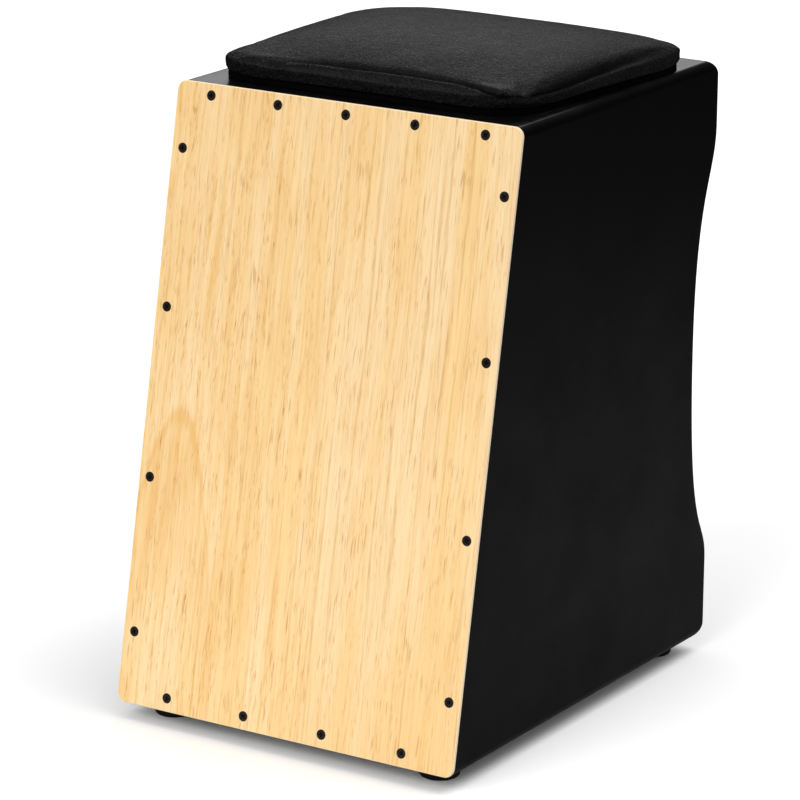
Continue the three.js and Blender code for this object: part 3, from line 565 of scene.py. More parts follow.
def fine_skin(g, given):
    """Height of a fine sprayed or moulded skin with bumps of one size, for places in metres."""
    return {"Height": g.noise(given["Vector"], g.over(1.0, given["Size"]), 3.0, 0.55)}


def edge_rub(g, given):
    """Mask of convex edges, broken up by noise, where a finish is rubbed thin."""
    soft = g.node("ShaderNodeBevel", {"Radius": given["Reach"]}, samples=4).outputs[0]
    turned = g.ramp(g.minus(1.0, g.along(soft, g.normal())), 0.01, 0.18)
    broken = g.ramp(g.noise(given["Vector"], 160.0, 4.0, 0.7), 0.35, 0.75)
    return {"Mask": g.times(turned, broken, given["Amount"], clamp=True)}


def settled_dust(g, given):
    """Mask of faint dust on faces that look up, thicker in soft patches, for places in metres."""
    facing = g.ramp(g.axes(g.normal())[2], 0.25, 0.95)
    patches = g.ramp(g.noise(given["Vector"], 24.0, 5.0, 0.65), 0.35, 0.75)
    specks = g.ramp(g.noise(given["Vector"], 900.0, 2.0, 0.5), 0.62, 0.8)
    cover = g.plus(g.times(patches, 0.6), g.times(specks, 0.4))
    return {"Mask": g.times(facing, cover, given["Amount"], clamp=True)}


# The shared effects: what fills each, and its float inputs with their defaults
EFFECTS = {
    "wood grain": (wood_grain, {"Wander": 4.0, "Band Width": 24.0, "Streak Width": 4.0, "Line Width": 1.8,
                                "Pore Width": 0.7, "Pore Length": 14.0}),
    "mottle": (mottle, {"Size": 0.05, "Low": 0.4, "High": 0.5}),
    "fine skin": (fine_skin, {"Size": 0.001}),
    "edge rub": (edge_rub, {"Reach": 0.0012, "Amount": 0.5}),
    "settled dust": (settled_dust, {"Amount": 0.1}),
}


def effect_tree(name):
    """The shader node group of an effect, built once. All its outputs are floats."""
    tree = bpy.data.node_groups.get(name)
    if tree is not None:
        return tree
    fill, floats = EFFECTS[name]
    tree = bpy.data.node_groups.new(name, "ShaderNodeTree")
    tree.interface.new_socket("Vector", in_out="INPUT", socket_type="NodeSocketVector")
    for label, default in floats.items():
        made = tree.interface.new_socket(label, in_out="INPUT", socket_type="NodeSocketFloat")
        made.default_value = default
    graph = Graph(tree)
    results = fill(graph, graph.node("NodeGroupInput").outputs)
    for label in results:
        tree.interface.new_socket(label, in_out="OUTPUT", socket_type="NodeSocketFloat")
    graph.node("NodeGroupOutput", results)
    return tree


# Each maker fills a material's graph and gives what feeds its Principled shader


def tapa_veneer(g):
    """Pale open-grained veneer under clear satin lacquer, with one cathedral arch low on the left, and the
    plies of the thin board showing at its cut edges. X runs across the tapa, Z up it and Y into the drum."""
    place = g.millimetres(tuple(FRONT.inverted().translation), (SLOPE, 0, 0))
    x, depth, up = g.axes(place)

    # The arch is a parabola: its field is zero on the line and negative inside
    wobble = g.minus(g.noise(g.scaled(place, (0.05, 0.05, 0.022)), 1.0, 3.0), 0.5)
    side = g.plus(x, ARCH_MIDDLE)
    field = g.plus(g.minus(up, ARCH_TOP), g.times(side, side, ARCH_BOW), g.times(wobble, 16.0))
    inside = g.ramp(field, 8.0, -8.0)
    line = g.times(g.ramp(field, -15.0, -3.0), g.ramp(field, 8.0, -1.0))
    arch = g.times(g.plus(g.times(inside, 0.36), g.times(line, 0.5)), g.ramp(up, 60.0, 150.0))
    patch = g.ramp(g.noise(g.scaled(place, (0.06, 0.06, 0.03)), 1.0, 2.0), 0.44, 0.62)
    arch = g.plus(arch, g.times(g.ramp(x, -146.0, -156.0), patch, 0.5))

    leftness = g.ramp(x, 60.0, -90.0)
    grain = g.effect("wood grain", {"Wander": 4.5, "Band Width": 26.0, "Streak Width": 4.4, "Line Width": 1.7,
                                    "Pore Width": 1.0, "Pore Length": 10.0}, place)
    apart = g.scaled(place, (1, 1, 1), (300, 0, 90))
    wide = g.effect("wood grain", {"Wander": 4.0, "Band Width": 70.0, "Streak Width": 12.0, "Line Width": 0.9,
                                   "Pore Width": 1.5, "Pore Length": 24.0}, apart)
    ground = g.mix(grain["Bands"], colour("wood_light"), colour("wood"))
    corner = g.times(g.ramp(x, -60.0, 160.0), g.ramp(up, 190.0, -20.0))
    ground = g.mix(g.times(corner, 0.45), ground, colour("wood_streak"))
    calm = g.plus(0.62, g.times(leftness, 0.38))
    streak = g.plus(g.times(grain["Streaks"], 0.3), g.times(wide["Streaks"], 0.34))
    thin = g.times(grain["Lines"], g.plus(0.14, g.times(grain["Streaks"], 0.34)))
    streak = g.times(g.plus(streak, thin, g.times(wide["Lines"], 0.14)), calm)
    toned = g.mix(g.plus(streak, g.times(arch, 0.75)), ground, colour("wood_streak"))
    fibre = g.times(g.minus(grain["Fibres"], 0.4), 0.2, clamp=True)
    toned = g.mix(fibre, toned, colour("wood_pore"))
    gate = g.ramp(g.noise(g.scaled(place, (0.09, 0.09, 0.02), (5, 0, 2)), 1.0, 2.0), 0.36, 0.6)
    crowd = g.plus(0.1, g.times(grain["Streaks"], 0.5))
    pore = g.times(grain["Pores"], crowd, g.plus(calm, 0.1))
    face = g.mix(g.plus(pore, g.times(wide["Pores"], gate, 0.5)), toned, colour("wood_pore"))
    long, dash, fine = [
        g.noise(g.joined(g.over(grain["Across"], width), shift, g.over(up, length)), 1.0, detail)
        for width, shift, length, detail in (
            (3.4, 7.0, 260.0, 1.0), (1.3, 31.0, 26.0, 2.0), (0.85, 57.0, 44.0, 2.0))]
    line = g.times(g.ramp(long, 0.57, 0.7), g.ramp(dash, 0.3, 0.72, 0.25, 1.0))
    line = g.math("MAXIMUM", g.times(line, 0.5), g.times(g.ramp(fine, 0.55, 0.75), 0.22))
    rightness = g.minus(1.25, g.times(leftness, 0.75))
    face = g.mix(g.times(line, rightness, clamp=True), face, colour("wood_line"))

    # Plies: face veneer, core and back veneer, by depth behind the face
    behind = g.plus(depth, -TAPA_FACE)
    core = g.times(g.ramp(behind, 0.62, 0.78), g.ramp(behind, 2.55, 2.4))
    edge = g.mix(core, colour("veneer_edge"), colour("ply_core"))
    edge = g.mix(g.times(grain["Fibres"], 0.2), edge, colour("wood_streak"))
    square = g.along(g.normal(), (0.0, -math.cos(SLOPE), math.sin(SLOPE)))
    sanded = g.times(g.ramp(square, 0.985, 0.9), g.ramp(square, 0.15, 0.4))
    tone = g.mix(g.ramp(behind, 0.1, 0.3), face, edge)
    height = g.minus(g.times(grain["Fibres"], 0.3), g.times(grain["Pores"], 0.7))
    return {"Base Color": g.mix(g.times(sanded, 0.8), tone, colour("ply_core")),
            "Roughness": g.patchy(0.03, 0.36, 0.5), "Normal": g.bump(height, 0.00006, 0.6)}


def satin_black(g):
    """Satin black paint on board: a faint sprayed skin, handled patches, thinner edges, a little dust, and
    more polish on faces that look up."""
    rub = g.rubbed(0.0011, 0.3)
    tone = g.mix(rub, colour("paint"), (0.05, 0.048, 0.046, 1.0))
    return {"Base Color": g.mix(g.dusty(0.02), tone, (0.32, 0.31, 0.3, 1.0)),
            "Roughness": g.minus(g.patchy(0.07, 0.4, 0.52), g.times(rub, 0.15)),
            "Coat Weight": g.ramp(g.axes(g.normal())[2], 0.93, 0.998, 0.0, 0.66),
            "Coat IOR": 1.5, "Coat Roughness": 0.16, "Normal": g.bump(g.skin(0.0013), 0.00003, 0.5)}


def pebbled_cover(g):
    """Soft black leatherette: pebbled cells about two and six millimetres wide, slanting creases on the front
    roll, dull valleys in the folds and between the pebbles, darkened there as painted shade, and less polish
    on the two sides."""
    place = g.place()
    warp = g.node("ShaderNodeTexNoise", {"Vector": place, "Scale": 500.0, "Detail": 2.0}).outputs["Color"]
    bent = g.vector("ADD", place, g.vector("MULTIPLY", warp, (0.0016, 0.0016, 0.0016))[0])[0]
    heights = []
    for scale, edge in ((430.0, 0.32), (170.0, 0.16)):
        cells = g.node("ShaderNodeTexVoronoi", {"Vector": bent, "Scale": scale, "Randomness": 1.0},
                       feature="DISTANCE_TO_EDGE").outputs["Distance"]
        heights.append(g.ramp(cells, 0.0, edge))
    pebble, hide = heights
    fold, roll = [g.node("ShaderNodeAttribute", attribute_name=name).outputs["Fac"]
                  for name in ("fold", "roll")]
    slanted = g.scaled(place, STROKE_SIZE, turn=STROKE_TURN, vector_type="TEXTURE")
    strokes = g.ramp(g.noise(slanted, 1.0, 2.0, 0.5), 0.35, 0.65)
    height = g.plus(g.times(pebble, 0.5), g.times(hide, 0.9), g.times(g.noise(place, 130.0, 3.0, 0.6), 2.4),
                    g.times(strokes, roll, 2.6))
    # Painted shade: the edges of the pebbled cells, where the valleys lie, are darkened towards near black.
    tone = g.mix(pebble, (0.0016, 0.0016, 0.0017, 1.0), colour("leather"))
    tone = g.mix(g.patchy(0.045, 0.0, 0.6), tone, (0.0095, 0.0095, 0.0098, 1.0))
    tone = g.mix(g.dusty(0.02), tone, (0.3, 0.3, 0.29, 1.0))
    valley = g.times(g.minus(1.0, pebble), 0.3)
    polish = g.ramp(g.math("ABSOLUTE", g.axes(g.normal())[0]), 0.3, 0.85, 0.12, 0.0)
    # Painted shade: the fold attribute darkens the cover towards near black in the crease behind the front
    # roll and in the pleats.
    return {"Base Color": g.mix(g.times(fold, 0.95), tone, grey(0.001)),
            "Roughness": g.plus(g.patchy(0.02, 0.29, 0.4), valley, g.times(fold, 0.5), clamp=True),
            "Coat Weight": g.times(polish, g.minus(1.0, fold)),
            "Coat IOR": 1.4, "Coat Roughness": 0.3, "Normal": g.bump(height, 0.0008, 1.0)}


def raw_pine(g, turn):
    """Unfinished softwood with clear growth lines along its length, which the turn lays along Z."""
    grain = g.effect("wood grain", {"Wander": 3.0, "Band Width": 9.0, "Streak Width": 2.2, "Pore Width": 0.4,
                                    "Pore Length": 9.0}, g.millimetres(turn=turn))
    tone = g.mix(g.times(grain["Streaks"], 0.65), colour("pine"), (*linear(176, 124, 70), 1.0))
    tone = g.mix(g.times(grain["Bands"], 0.35), tone, (*linear(232, 202, 156), 1.0))
    return {"Base Color": g.mix(g.times(grain["Pores"], 0.3), tone, (*linear(140, 96, 54), 1.0)),
            "Roughness": g.patchy(0.02, 0.6, 0.78), "Normal": g.bump(grain["Fibres"], 0.0001, 0.6)}


def moulded(g, tone, low, high, size, depth):
    """Moulded plastic or rubber: a fine skin of one grain size, handled patches and rubbed edges."""
    rub = g.rubbed(0.0005, 0.35)
    base = g.mix(rub, colour(tone), grey(0.07))
    return {"Base Color": g.mix(g.dusty(0.06), base, (0.3, 0.29, 0.28, 1.0)),
            "Roughness": g.minus(g.patchy(0.012, low, high), g.times(rub, 0.12)),
            "Normal": g.bump(g.skin(size), depth, 0.6)}


def metal(g, tone, low, high, metallic=1.0):
    """Plated or turned metal: fine brushed lines, handled patches and brighter rubbed edges."""
    brushed = g.noise(g.scaled(g.place(), (300, 300, 5200)), 1.0, 3.0, 0.6)
    bright = (*(min(1.0, 1.5 * v + 0.12 * metallic**2) for v in tone), 1.0)
    base = g.mix(g.patchy(0.006, 0.0, 0.3), (*tone, 1.0), (*(0.6 * v for v in tone), 1.0))
    return {"Base Color": g.mix(g.rubbed(0.0003, 0.6), base, bright), "Metallic": metallic,
            "Roughness": g.plus(g.patchy(0.004, low, high), g.times(brushed, 0.1)),
            "Normal": g.bump(brushed, 0.00001, 0.35)}


def knob_plastic(g):
    """Moulded plastic with a painted line in the slot that marks the knob's turn."""
    x, out, up = g.axes(g.millimetres((-PLATE_X, -PLATE_FACE, -POT_Z)))
    deep = g.times(g.ramp(out, 14.7, 14.75), g.ramp(out, 15.4, 15.3))
    mark = g.times(g.ramp(g.math("ABSOLUTE", x), 0.66, 0.6), g.ramp(up, 0.1, 0.3), deep)
    base = g.mix(g.rubbed(0.0004, 0.4), colour("plastic"), grey(0.09))
    return {"Base Color": g.mix(mark, base, colour("pointer")), "Roughness": g.patchy(0.006, 0.38, 0.5),
            "Normal": g.bump(g.skin(0.0004), 0.00002, 0.5)}


def base_cloth_painted_shade(g):
    """The cushion's base board under thin black cloth: a plain weave with threads of half a millimetre, its
    colours darkened to near black as painted shade under the cushion's overhang.
    """
    inputs = {"Vector": g.place(), "Scale": 300.0, "Distortion": 0.6, "Detail": 1.0}
    waves = [g.node("ShaderNodeTexWave", inputs, bands_direction=axis).outputs["Fac"] for axis in ("X", "Y")]
    weave = g.math("MAXIMUM", *waves)
    # Painted shade: the weave's two colours are near black, darker than black cloth, for the shade under the
    # cushion.
    return {"Base Color": g.mix(weave, grey(0.0005), grey(0.0016)), "Roughness": g.patchy(0.02, 0.66, 0.82),
            "Normal": g.bump(weave, 0.00008, 0.6)}


# The finishes: the slot of the pieces that wear each, which nothing here reads, its Specular IOR Level, its
# maker and the maker's values. Those without a slot are worn by CAD nodes that keep their own.
FINISHES = {
    "tapa_veneer": ("tapa_wood", 0.32, tapa_veneer),
    "satin_black": ("black_paint", 0.05, satin_black),
    "pebbled_cover": ("leatherette", 0.07, pebbled_cover),
    "knob_plastic": ("black_plastic", 0.45, knob_plastic),
    "base_cloth_painted_shade": ("black_plastic", 0.02, base_cloth_painted_shade),
    "foot_rubber": ("rubber", 0.2, moulded, "rubber", 0.62, 0.8, 0.0006, 0.00005),
    "fitting_plastic": ("black_plastic", 0.4, moulded, "plastic", 0.4, 0.54, 0.0005, 0.00004),
    "lead_jacket": (None, 0.4, moulded, "plastic", 0.46, 0.6, 0.0008, 0.00002),
    "pine_strip": (None, 0.25, raw_pine, (math.pi / 2, 0, 0)),
    "pine_rail": (None, 0.25, raw_pine, (0, math.pi / 2, 0)),
    "blackened_screw": ("black_screw", 0.5, metal, (0.018, 0.012, 0.008), 0.24, 0.36, 0.35),
    "plated_steel": ("steel", 0.5, metal, (0.56, 0.56, 0.57), 0.2, 0.34),
    "turned_brass": ("brass", 0.5, metal, (0.66, 0.44, 0.16), 0.22, 0.36),
}


def finish(name):
    """The material of that name, made once."""
    found = bpy.data.materials.get(name)
    if found is not None:
        return found
    _, specular, make, *values = FINISHES[name]
    material = bpy.data.materials.new(name)
    graph = graph_of(material)
    shader = graph.node("ShaderNodeBsdfPrincipled", {"Specular IOR Level": specular, **make(graph, *values)})
    graph.node("ShaderNodeOutputMaterial", {"Surface": shader.outputs[0]})
    return material


def dress(node, material):
    """Gives a CAD node that keeps its shape its finish."""
    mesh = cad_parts[node].data
    mesh.materials.clear()
    mesh.materials.append(finish(material))


# Screws


def screw_surface(size):
    """A countersunk screw along +Y with a cross recess in its face. Round each ring the columns run, in every
    quarter turn, along half a wing, its wall, the plain face between, the next wall and half the next wing,
    so the walls stay crisp: a wing's half angle at radius r is asin(w/r). Inside the reach the wings lie
    deeper, by d(1 - 0.6 (r/reach)^2)."""
    head, head_height, shank, length = size
    reach, half, wall, depth = head * 0.6, head * 0.15, head * 0.035, head_height * 0.8
    rim = 0.25
    wing_rows = np.array([1e-6, 0.35, 0.6, 0.85, 1.0]) * (reach - wall)
    cone = arc((head - rim, rim), rim, -90, 0, 4)
    outer = [(reach, 0.0), ((reach + head - rim) / 2, 0.0), *cone, (shank, head_height),
             (shank, length * 0.8), (shank * 0.45, length * 0.93), (1e-6, length)]
    radii = np.concatenate([wing_rows, [p[0] for p in outer]])
    plain = np.concatenate([np.zeros(len(wing_rows)), [p[1] for p in outer]])
    quarter = np.array([0.0, 0.5, 1.0, 2.0, 2.5, 3.0, 3.5, 4.0, 5.0, 5.5])
    inner_angle = np.arcsin(np.clip(half / np.maximum(radii, 1e-9), 0, math.sqrt(0.5)))
    outer_angle = np.arcsin(np.clip((half + wall) / np.maximum(radii, 1e-9), 0, math.sqrt(0.5)))
    right = math.pi / 2
    keys = [0.0, 1.0, 2.0, 4.0, 5.0, 6.0]
    angles = []
    for a, b in zip(inner_angle, outer_angle):
        one = np.interp(quarter, keys, [0.0, a, b, right - b, right - a, right])
        angles.append(np.concatenate([one + right * i for i in range(4)]))
    angles = np.array(angles)
    low = np.tile((quarter <= 1.0) | (quarter >= 5.0), 4)
    sink = np.zeros(len(radii))
    sink[: len(wing_rows)] = depth * (1 - 0.6 * (wing_rows / reach) ** 2)
    centre = radii < half
    y = plain[:, None] + sink[:, None] * (low[None, :] | centre[:, None])
    return np.stack([radii[:, None] * np.cos(angles), y, radii[:, None] * np.sin(angles)], -1)


def add_screw(name, size, matrix, material="blackened_screw"):
    """One screw that stands for the CAD node of its name, placed by a matrix in millimetres."""
    mesh = mesh_of(name, [(screw_surface(size), False, True)], matrix=matrix)
    piece_of(name + "_turned", mesh, material, name, sharp=32.0)


def upright(x, y, z):
    """The place of a screw that points straight up."""
    return Matrix.Translation((x, y, z)) @ Matrix.Rotation(math.pi / 2, 4, "X")


def tapa_screw_places():
    """The 17 screws of the tapa: node, X and height up the slope."""
    places = []
    for label, (count, inset, height) in (("top", TOP_ROW), ("bottom", BOTTOM_ROW)):
        reach = HALF_WIDTH - inset
        for i, x in enumerate(np.linspace(-reach, reach, count)):
            places.append((f"tapa_screw_{label}_{i + 1}", float(x), height))
    for label, side in SIDES:
        for i, share in enumerate(SIDE_SHARES):
            height = SIDE_LOW + (SIDE_HIGH - SIDE_LOW) * share
            places.append((f"tapa_screw_{label}_{i + 1}", side * (HALF_WIDTH - SIDE_INSET), height))
    return places


def screw_hole(size, matrix):
    """The countersunk hole that a screw needs, as a cutter that is open beyond its head."""
    head, head_height, shank, length = size
    wide, narrow = head + SCREW_GAP, shank + SCREW_GAP
    profile = [(1e-6, -4.0), (wide, -4.0), (wide, 0.0), (narrow, head_height), (narrow, length),
               (1e-6, length)]
    return turned_mesh("screw_hole", profile, 32, matrix=matrix)


class PieceOperator:
    """What the operators share: undo support, and the call that builds."""

    bl_options = {"REGISTER", "UNDO"}

    def execute(self, context):
        self.build(context.scene)
        return {"FINISHED"}


class CAJON_OT_side_panels(PieceOperator, bpy.types.Operator):
    """Build both side panels with their rounded edges, waisted backs and grooves"""

    bl_idname = "cajon.side_panels"
    bl_label = "Side Panels"

    def build(self, scene):
        line = back_line(TOP_BOARD_UNDERSIDE, BOTTOM_BOARD_TOP)
        normal = line_normals(line)
        outer = line - normal * (BACK_REVEAL - GLUE_LINE)
        inner = line - normal * (BACK_REVEAL + BACK_THICKNESS + GLUE_LINE)
        strip = np.concatenate([outer, inner[::-1]])
        for label, side in SIDES:
            panel = slab_mesh(f"side_panel_{label}", side_panel_rings(side), [2, 0, 1])
            near, far = sorted((side * (INNER_HALF - 2), side * (INNER_HALF + GROOVE_DEPTH)))
            groove = slab_mesh("groove", slab(strip, strip * 0, (near, 0.0), (far, 0.0), 1), [2, 0, 1])
            board = carved(panel, [groove])
            piece_of(f"side_board_{label}", board, "satin_black", f"side_panel_{label}", even=True)


class CAJON_OT_top_and_bottom(PieceOperator, bpy.types.Operator):
    """Build the top and bottom boards with their round back corners"""

    bl_idname = "cajon.top_and_bottom"
    bl_label = "Top and Bottom Boards"

    def build(self, scene):
        arris = millimetres("board_arris")
        for label, low, high, start in (("top", TOP_BOARD_UNDERSIDE, BOARD_TOP, 90),
                                        ("bottom", UNDERSIDE, BOTTOM_BOARD_TOP, 0)):
            front, front_slide = front_edge(low, high)
            corner, corner_slide, _ = back_corner(0, 0, start)
            if label == "top":
                outline, slide = [front, corner, [(BACK, low)]], [front_slide, corner_slide, [(-1.0, 1.0)]]
            else:
                outline, slide = [front, [(BACK, high)], corner], [front_slide, [(-1.0, -1.0)], corner_slide]
            near, far = (-INNER_HALF, arris), (INNER_HALF, arris)
            rings = slab(np.concatenate(outline), np.concatenate(slide), near, far, 3)
            mesh = slab_mesh(f"{label}_board", rings, [2, 0, 1])
            piece_of(f"{label}_board", mesh, "satin_black", f"{label}_panel", even=True)


def back_panel_grid():
    """The bent back with its sound hole, as rings round the hole. A point lies on the line from the hole's
    edge to the panel's rim; the rim of the hole is a quarter round. Y follows the waisted back line, and each
    depth is measured square to that line."""
    line = back_line(TOP_BOARD_UNDERSIDE - GLUE_LINE, BOTTOM_BOARD_TOP + GLUE_LINE, 120)
    face = line - line_normals(line) * BACK_REVEAL
    heights, depths = face[::-1, 1], face[::-1, 0]
    heights, keep = np.unique(heights, return_index=True)
    depths = depths[keep]
    slopes = np.gradient(depths, heights)
    reach = INNER_HALF + GROOVE_DEPTH - GLUE_LINE
    top, bottom = heights[-1], heights[0]
    columns, rows = 48, 76
    across = np.linspace(-reach, reach, columns + 1)
    tall = np.linspace(bottom, top, rows + 1)
    rim = np.concatenate([np.stack(side, -1) for side in (
        [across[:-1], np.full(columns, bottom)], [np.full(rows, reach), tall[:-1]],
        [across[:0:-1], np.full(columns, top)], [np.full(rows, -reach), tall[:0:-1]])])
    centre = np.array([0.0, WAIST_Z])
    away = rim - centre
    away /= np.linalg.norm(away, axis=1)[:, None]
    hole, edge = millimetres("sound_hole"), millimetres("hole_rim")
    shares = np.linspace(0, 1, 34)[1:] ** 1.15
    turn = np.radians(np.linspace(0, 90, 7))
    bead = hole + edge * (1 - np.cos(turn))
    sink = edge * (1 - np.sin(turn))
    outer_start = centre + away * (hole + edge)
    wide = [outer_start + (rim - outer_start) * s for s in shares]
    rounded = [centre + away * r for r in bead]
    front = [(p, 0.0) for p in wide[::-1]] + [(p, s) for p, s in zip(rounded[::-1], sink[::-1])]
    back = [(p, BACK_THICKNESS - s) for p, s in zip(rounded, sink)] + [(p, BACK_THICKNESS) for p in wide]
    rings = []
    for points, sunk in front + back:
        y = np.interp(points[:, 1], heights, depths)
        slope = np.interp(points[:, 1], heights, slopes)
        tilt = np.sqrt(1 + slope**2)
        rings.append(np.stack([points[:, 0], y - sunk / tilt, points[:, 1] + sunk * slope / tilt], -1))
    return np.array(rings)


def plate_block(name, half, near, far, steps=1):
    """An upright rounded block round the jack plate's middle. near and far are (Y, edge radius)."""
    low, high = (PLATE_X - half[0], WAIST_Z - half[1]), (PLATE_X + half[0], WAIST_Z + half[1])
    return block_mesh(name, low, high, PLATE_CORNER, near, far, steps)


class CAJON_OT_back_panel(PieceOperator, bpy.types.Operator):
    """Build the bent back panel with its sound hole and the jack plate's seat"""

    bl_idname = "cajon.back_panel"
    bl_label = "Back Panel"

    def build(self, scene):
        blank = mesh_of("back_panel", [(back_panel_grid(), True, True)])
        beyond = (BACK + 5, 0.0)
        seat_half = (PLATE_HALF[0] + GLUE_LINE, PLATE_HALF[1] + GLUE_LINE)
        cutters = [plate_block("seat", seat_half, (PLATE_BACK - GLUE_LINE, 0.0), beyond),
                   plate_block("opening", PLATE_OPENING, (140.0, 0.0), beyond)]
        piece_of("back_sheet", carved(blank, cutters), "satin_black", "back_panel", sharp=28.0, even=True)


class CAJON_OT_tapa(PieceOperator, bpy.types.Operator):
    """Build the tapa with its soft corners, sanded arris and countersunk holes"""

    bl_idname = "cajon.tapa"
    bl_label = "Tapa"

    def build(self, scene):
        corner, arris = millimetres("tapa_corner"), millimetres("tapa_arris")
        blank = block_mesh("tapa_blank", (-HALF_WIDTH, 0), (HALF_WIDTH, SLOPE_LENGTH), corner,
                           (TAPA_FACE, arris), (-SEAM, arris), 5, 14, FRONT)
        holes = [screw_hole(TAPA_SCREW, FRONT @ Matrix.Translation((x, TAPA_FACE, up)))
                 for _, x, up in tapa_screw_places()]
        piece_of("tapa_board", carved(blank, holes), "tapa_veneer", "tapa", sharp=28.0, even=True)


class CAJON_OT_tapa_screws(PieceOperator, bpy.types.Operator):
    """Build the 17 countersunk screws that hold the tapa"""

    bl_idname = "cajon.tapa_screws"
    bl_label = "Tapa Screws"

    def build(self, scene):
        for i, (node, x, up) in enumerate(tapa_screw_places()):
            twist = Matrix.Rotation(math.radians((37 * i) % 90), 4, "Y")
            add_screw(node, TAPA_SCREW, FRONT @ Matrix.Translation((x, TAPA_FACE, up)) @ twist)


class CAJON_OT_feet(PieceOperator, bpy.types.Operator):
    """Build the four rubber feet and the screws that hold them"""

    bl_idname = "cajon.feet"
    bl_label = "Feet"

    def build(self, scene):
        radius = millimetres("foot_radius")
        profile = np.concatenate([
            [(4.3, 0.6)], arc((4.9, 0.6), 0.6, 180, 270, 4),
            [(8.0, 0.0), (8.6, 0.5), (10.6, 0.5), (11.2, 0.0)],
            arc((radius - 2.5, 2.5), 2.5, -90, 0, 8), [(radius - 0.1, 6.0), (radius - 0.7, 6.5)],
            [(radius - 0.7, 7.3), (radius - 0.1, 7.8)], arc((radius - 0.6, 12.2), 0.6, 0, 90, 4),
            [(2.3, 12.8), (2.3, 7.4), (4.3, 5.0)]])
        for row, y in (("front", FOOT_FRONT_Y), ("rear", FOOT_REAR_Y)):
            for side, sign in SIDES:
                label, x = f"{row}_{side}", sign * FOOT_X
                mesh = turned_mesh(f"foot_{label}", profile, 64, (x, y, 0), "z", ring=True)
                piece_of(f"rubber_foot_{label}", mesh, "foot_rubber", f"foot_{label}", sharp=40.0)
                add_screw(f"foot_screw_{label}", FOOT_SCREW, upright(x, y, 5.0))


def squared_oval(u, v, squareness):
    """The point of a squared oval in the direction of a square's edge point (u, v), from -1 to 1 each way:
    (u, v) / (|u|^n + |v|^n)^(1/n)."""
    reach = (np.abs(u) ** squareness + np.abs(v) ** squareness) ** (1 / squareness)
    return u / reach, v / reach


# The valley behind the cushion's front roll, in plan, from the left to the front right corner and back along
# the right side
CREASE_ROUTE = (
    (-106, -81), (-87, -80.5), (-71, -79.5), (-51, -77), (-29, -76), (-7, -75), (15, -74), (36, -73),
    (64, -76), (90, -77), (108, -82), (122, -84), (134, -80), (140, -68), (142, -48), (142, -8), (142, 18),
    (143, 48), (145, 90), (147, 131),
)

# Corners of the cushion that are pleated: X, Y, a phase and the pleats' depth
PLEATS = ((-141, -84, 3, 1.3), (148, -86, 4, 0.3), (-141, 158, 6, 0.6), (150, 158, 7, 0.6))


def pad_corners(u, v):
    """How square the cushion's plan is towards each corner: soft at the back left, squarer at the others."""
    return 7.6 + 0.9 * u - 1.0 * v + 1.4 * u * v


def pad_plan(u, v):
    """Spreads a square grid over the cushion's plan. Near the rim the grid bends from straight lines to the
    squared oval; the share of the bend is the fourth power of the square radius."""
    ring = np.maximum(np.maximum(np.abs(u), np.abs(v)), 1e-9)
    edge_u, edge_v = u / ring, v / ring
    oval_u, oval_v = squared_oval(edge_u, edge_v, pad_corners(edge_u, edge_v))
    bend = ring**4
    return u + (oval_u * ring - u) * bend, v + (oval_v * ring - v) * bend


def pad_edge_height(u, v):
    """Height of the cushion's shoulder over its base: lowest in front, higher at the back and a little at the
    left."""
    return 12.8 + 0.7 * np.clip(v, -0.4, 1) + 0.4 * np.clip(-u, 0, 1)


def pad_crown(u, v):
    """Share of the crown's height: (1 - |u|^p)(1 - |v/w|^q), where w is 1 at the back and less in front, so
    that a flat strip is left before the crown, and p and q are larger at the left and at the back."""
    reach = np.where(v < 0, CROWN_START, 1.0)
    across = np.abs(u) ** np.where(u < 0, 4.0, 3.4)
    return (1 - across) * (1 - np.clip(np.abs(v) / reach, 0, 1) ** np.where(v < 0, 2.4, 2.9))


def cushion_grid():
    """The cushion before it is stuffed: a crowned top and a flat bottom over square grids, and an upright
    side that is part of a squared ellipse, whose sine and cosine are raised to a power below 1. The crown
    rises over the shoulder by the crown's share."""
    count_u, count_v = 98, 86
    u, v = np.meshgrid(np.linspace(-1, 1, count_u + 1), np.linspace(-1, 1, count_v + 1), indexing="ij")
    half = np.array(CUSHION_HALF) - (1.3, 0.3)
    roll = 5.5

    def spread(u, v, angle):
        """The grid's places in plan where the side has turned by an angle, and the edge's height there."""
        across, along = pad_plan(u, v)
        inset = roll * (1 - math.cos(angle) ** WALL_POWER)
        fan = 1 + PAD_FAN * along * (across > 0)
        x = CUSHION_CENTRE[0] + across * (half[0] - inset) * fan
        y = CUSHION_CENTRE[1] + along * (half[1] - inset)
        return x, y, pad_edge_height(across, along)

    def climb(angle):
        """The share of the edge's height that the side has reached where it has turned by an angle."""
        return 0.5 + math.copysign(0.5 * abs(math.sin(angle)) ** WALL_POWER, angle)

    highest, lowest = math.radians(82), math.radians(-70)
    x, y, edge = spread(u, v, highest)
    rise = (PAD_CROWN - edge) * pad_crown(u, v)
    top = np.stack([x, y, PAD_LOW + edge * climb(highest) + rise], -1)
    x, y, edge = spread(u, v, lowest)
    bottom = np.stack([x, y, np.full_like(x, PAD_LOW)], -1)
    k, m = u[:, 0], v[0]
    loop_u = np.concatenate([k[:-1], np.ones(count_v), k[:0:-1], -np.ones(count_v)])
    loop_v = np.concatenate([-np.ones(count_u), m[:-1], np.ones(count_u), m[:0:-1]])
    rows = []
    for angle in np.linspace(lowest, highest, 11):
        x, y, edge = spread(loop_u, loop_v, angle)
        rows.append(np.stack([x, y, PAD_LOW + edge * climb(angle)], -1))
    rows[0][:, 2] = PAD_LOW
    return top, bottom, np.array(rows)


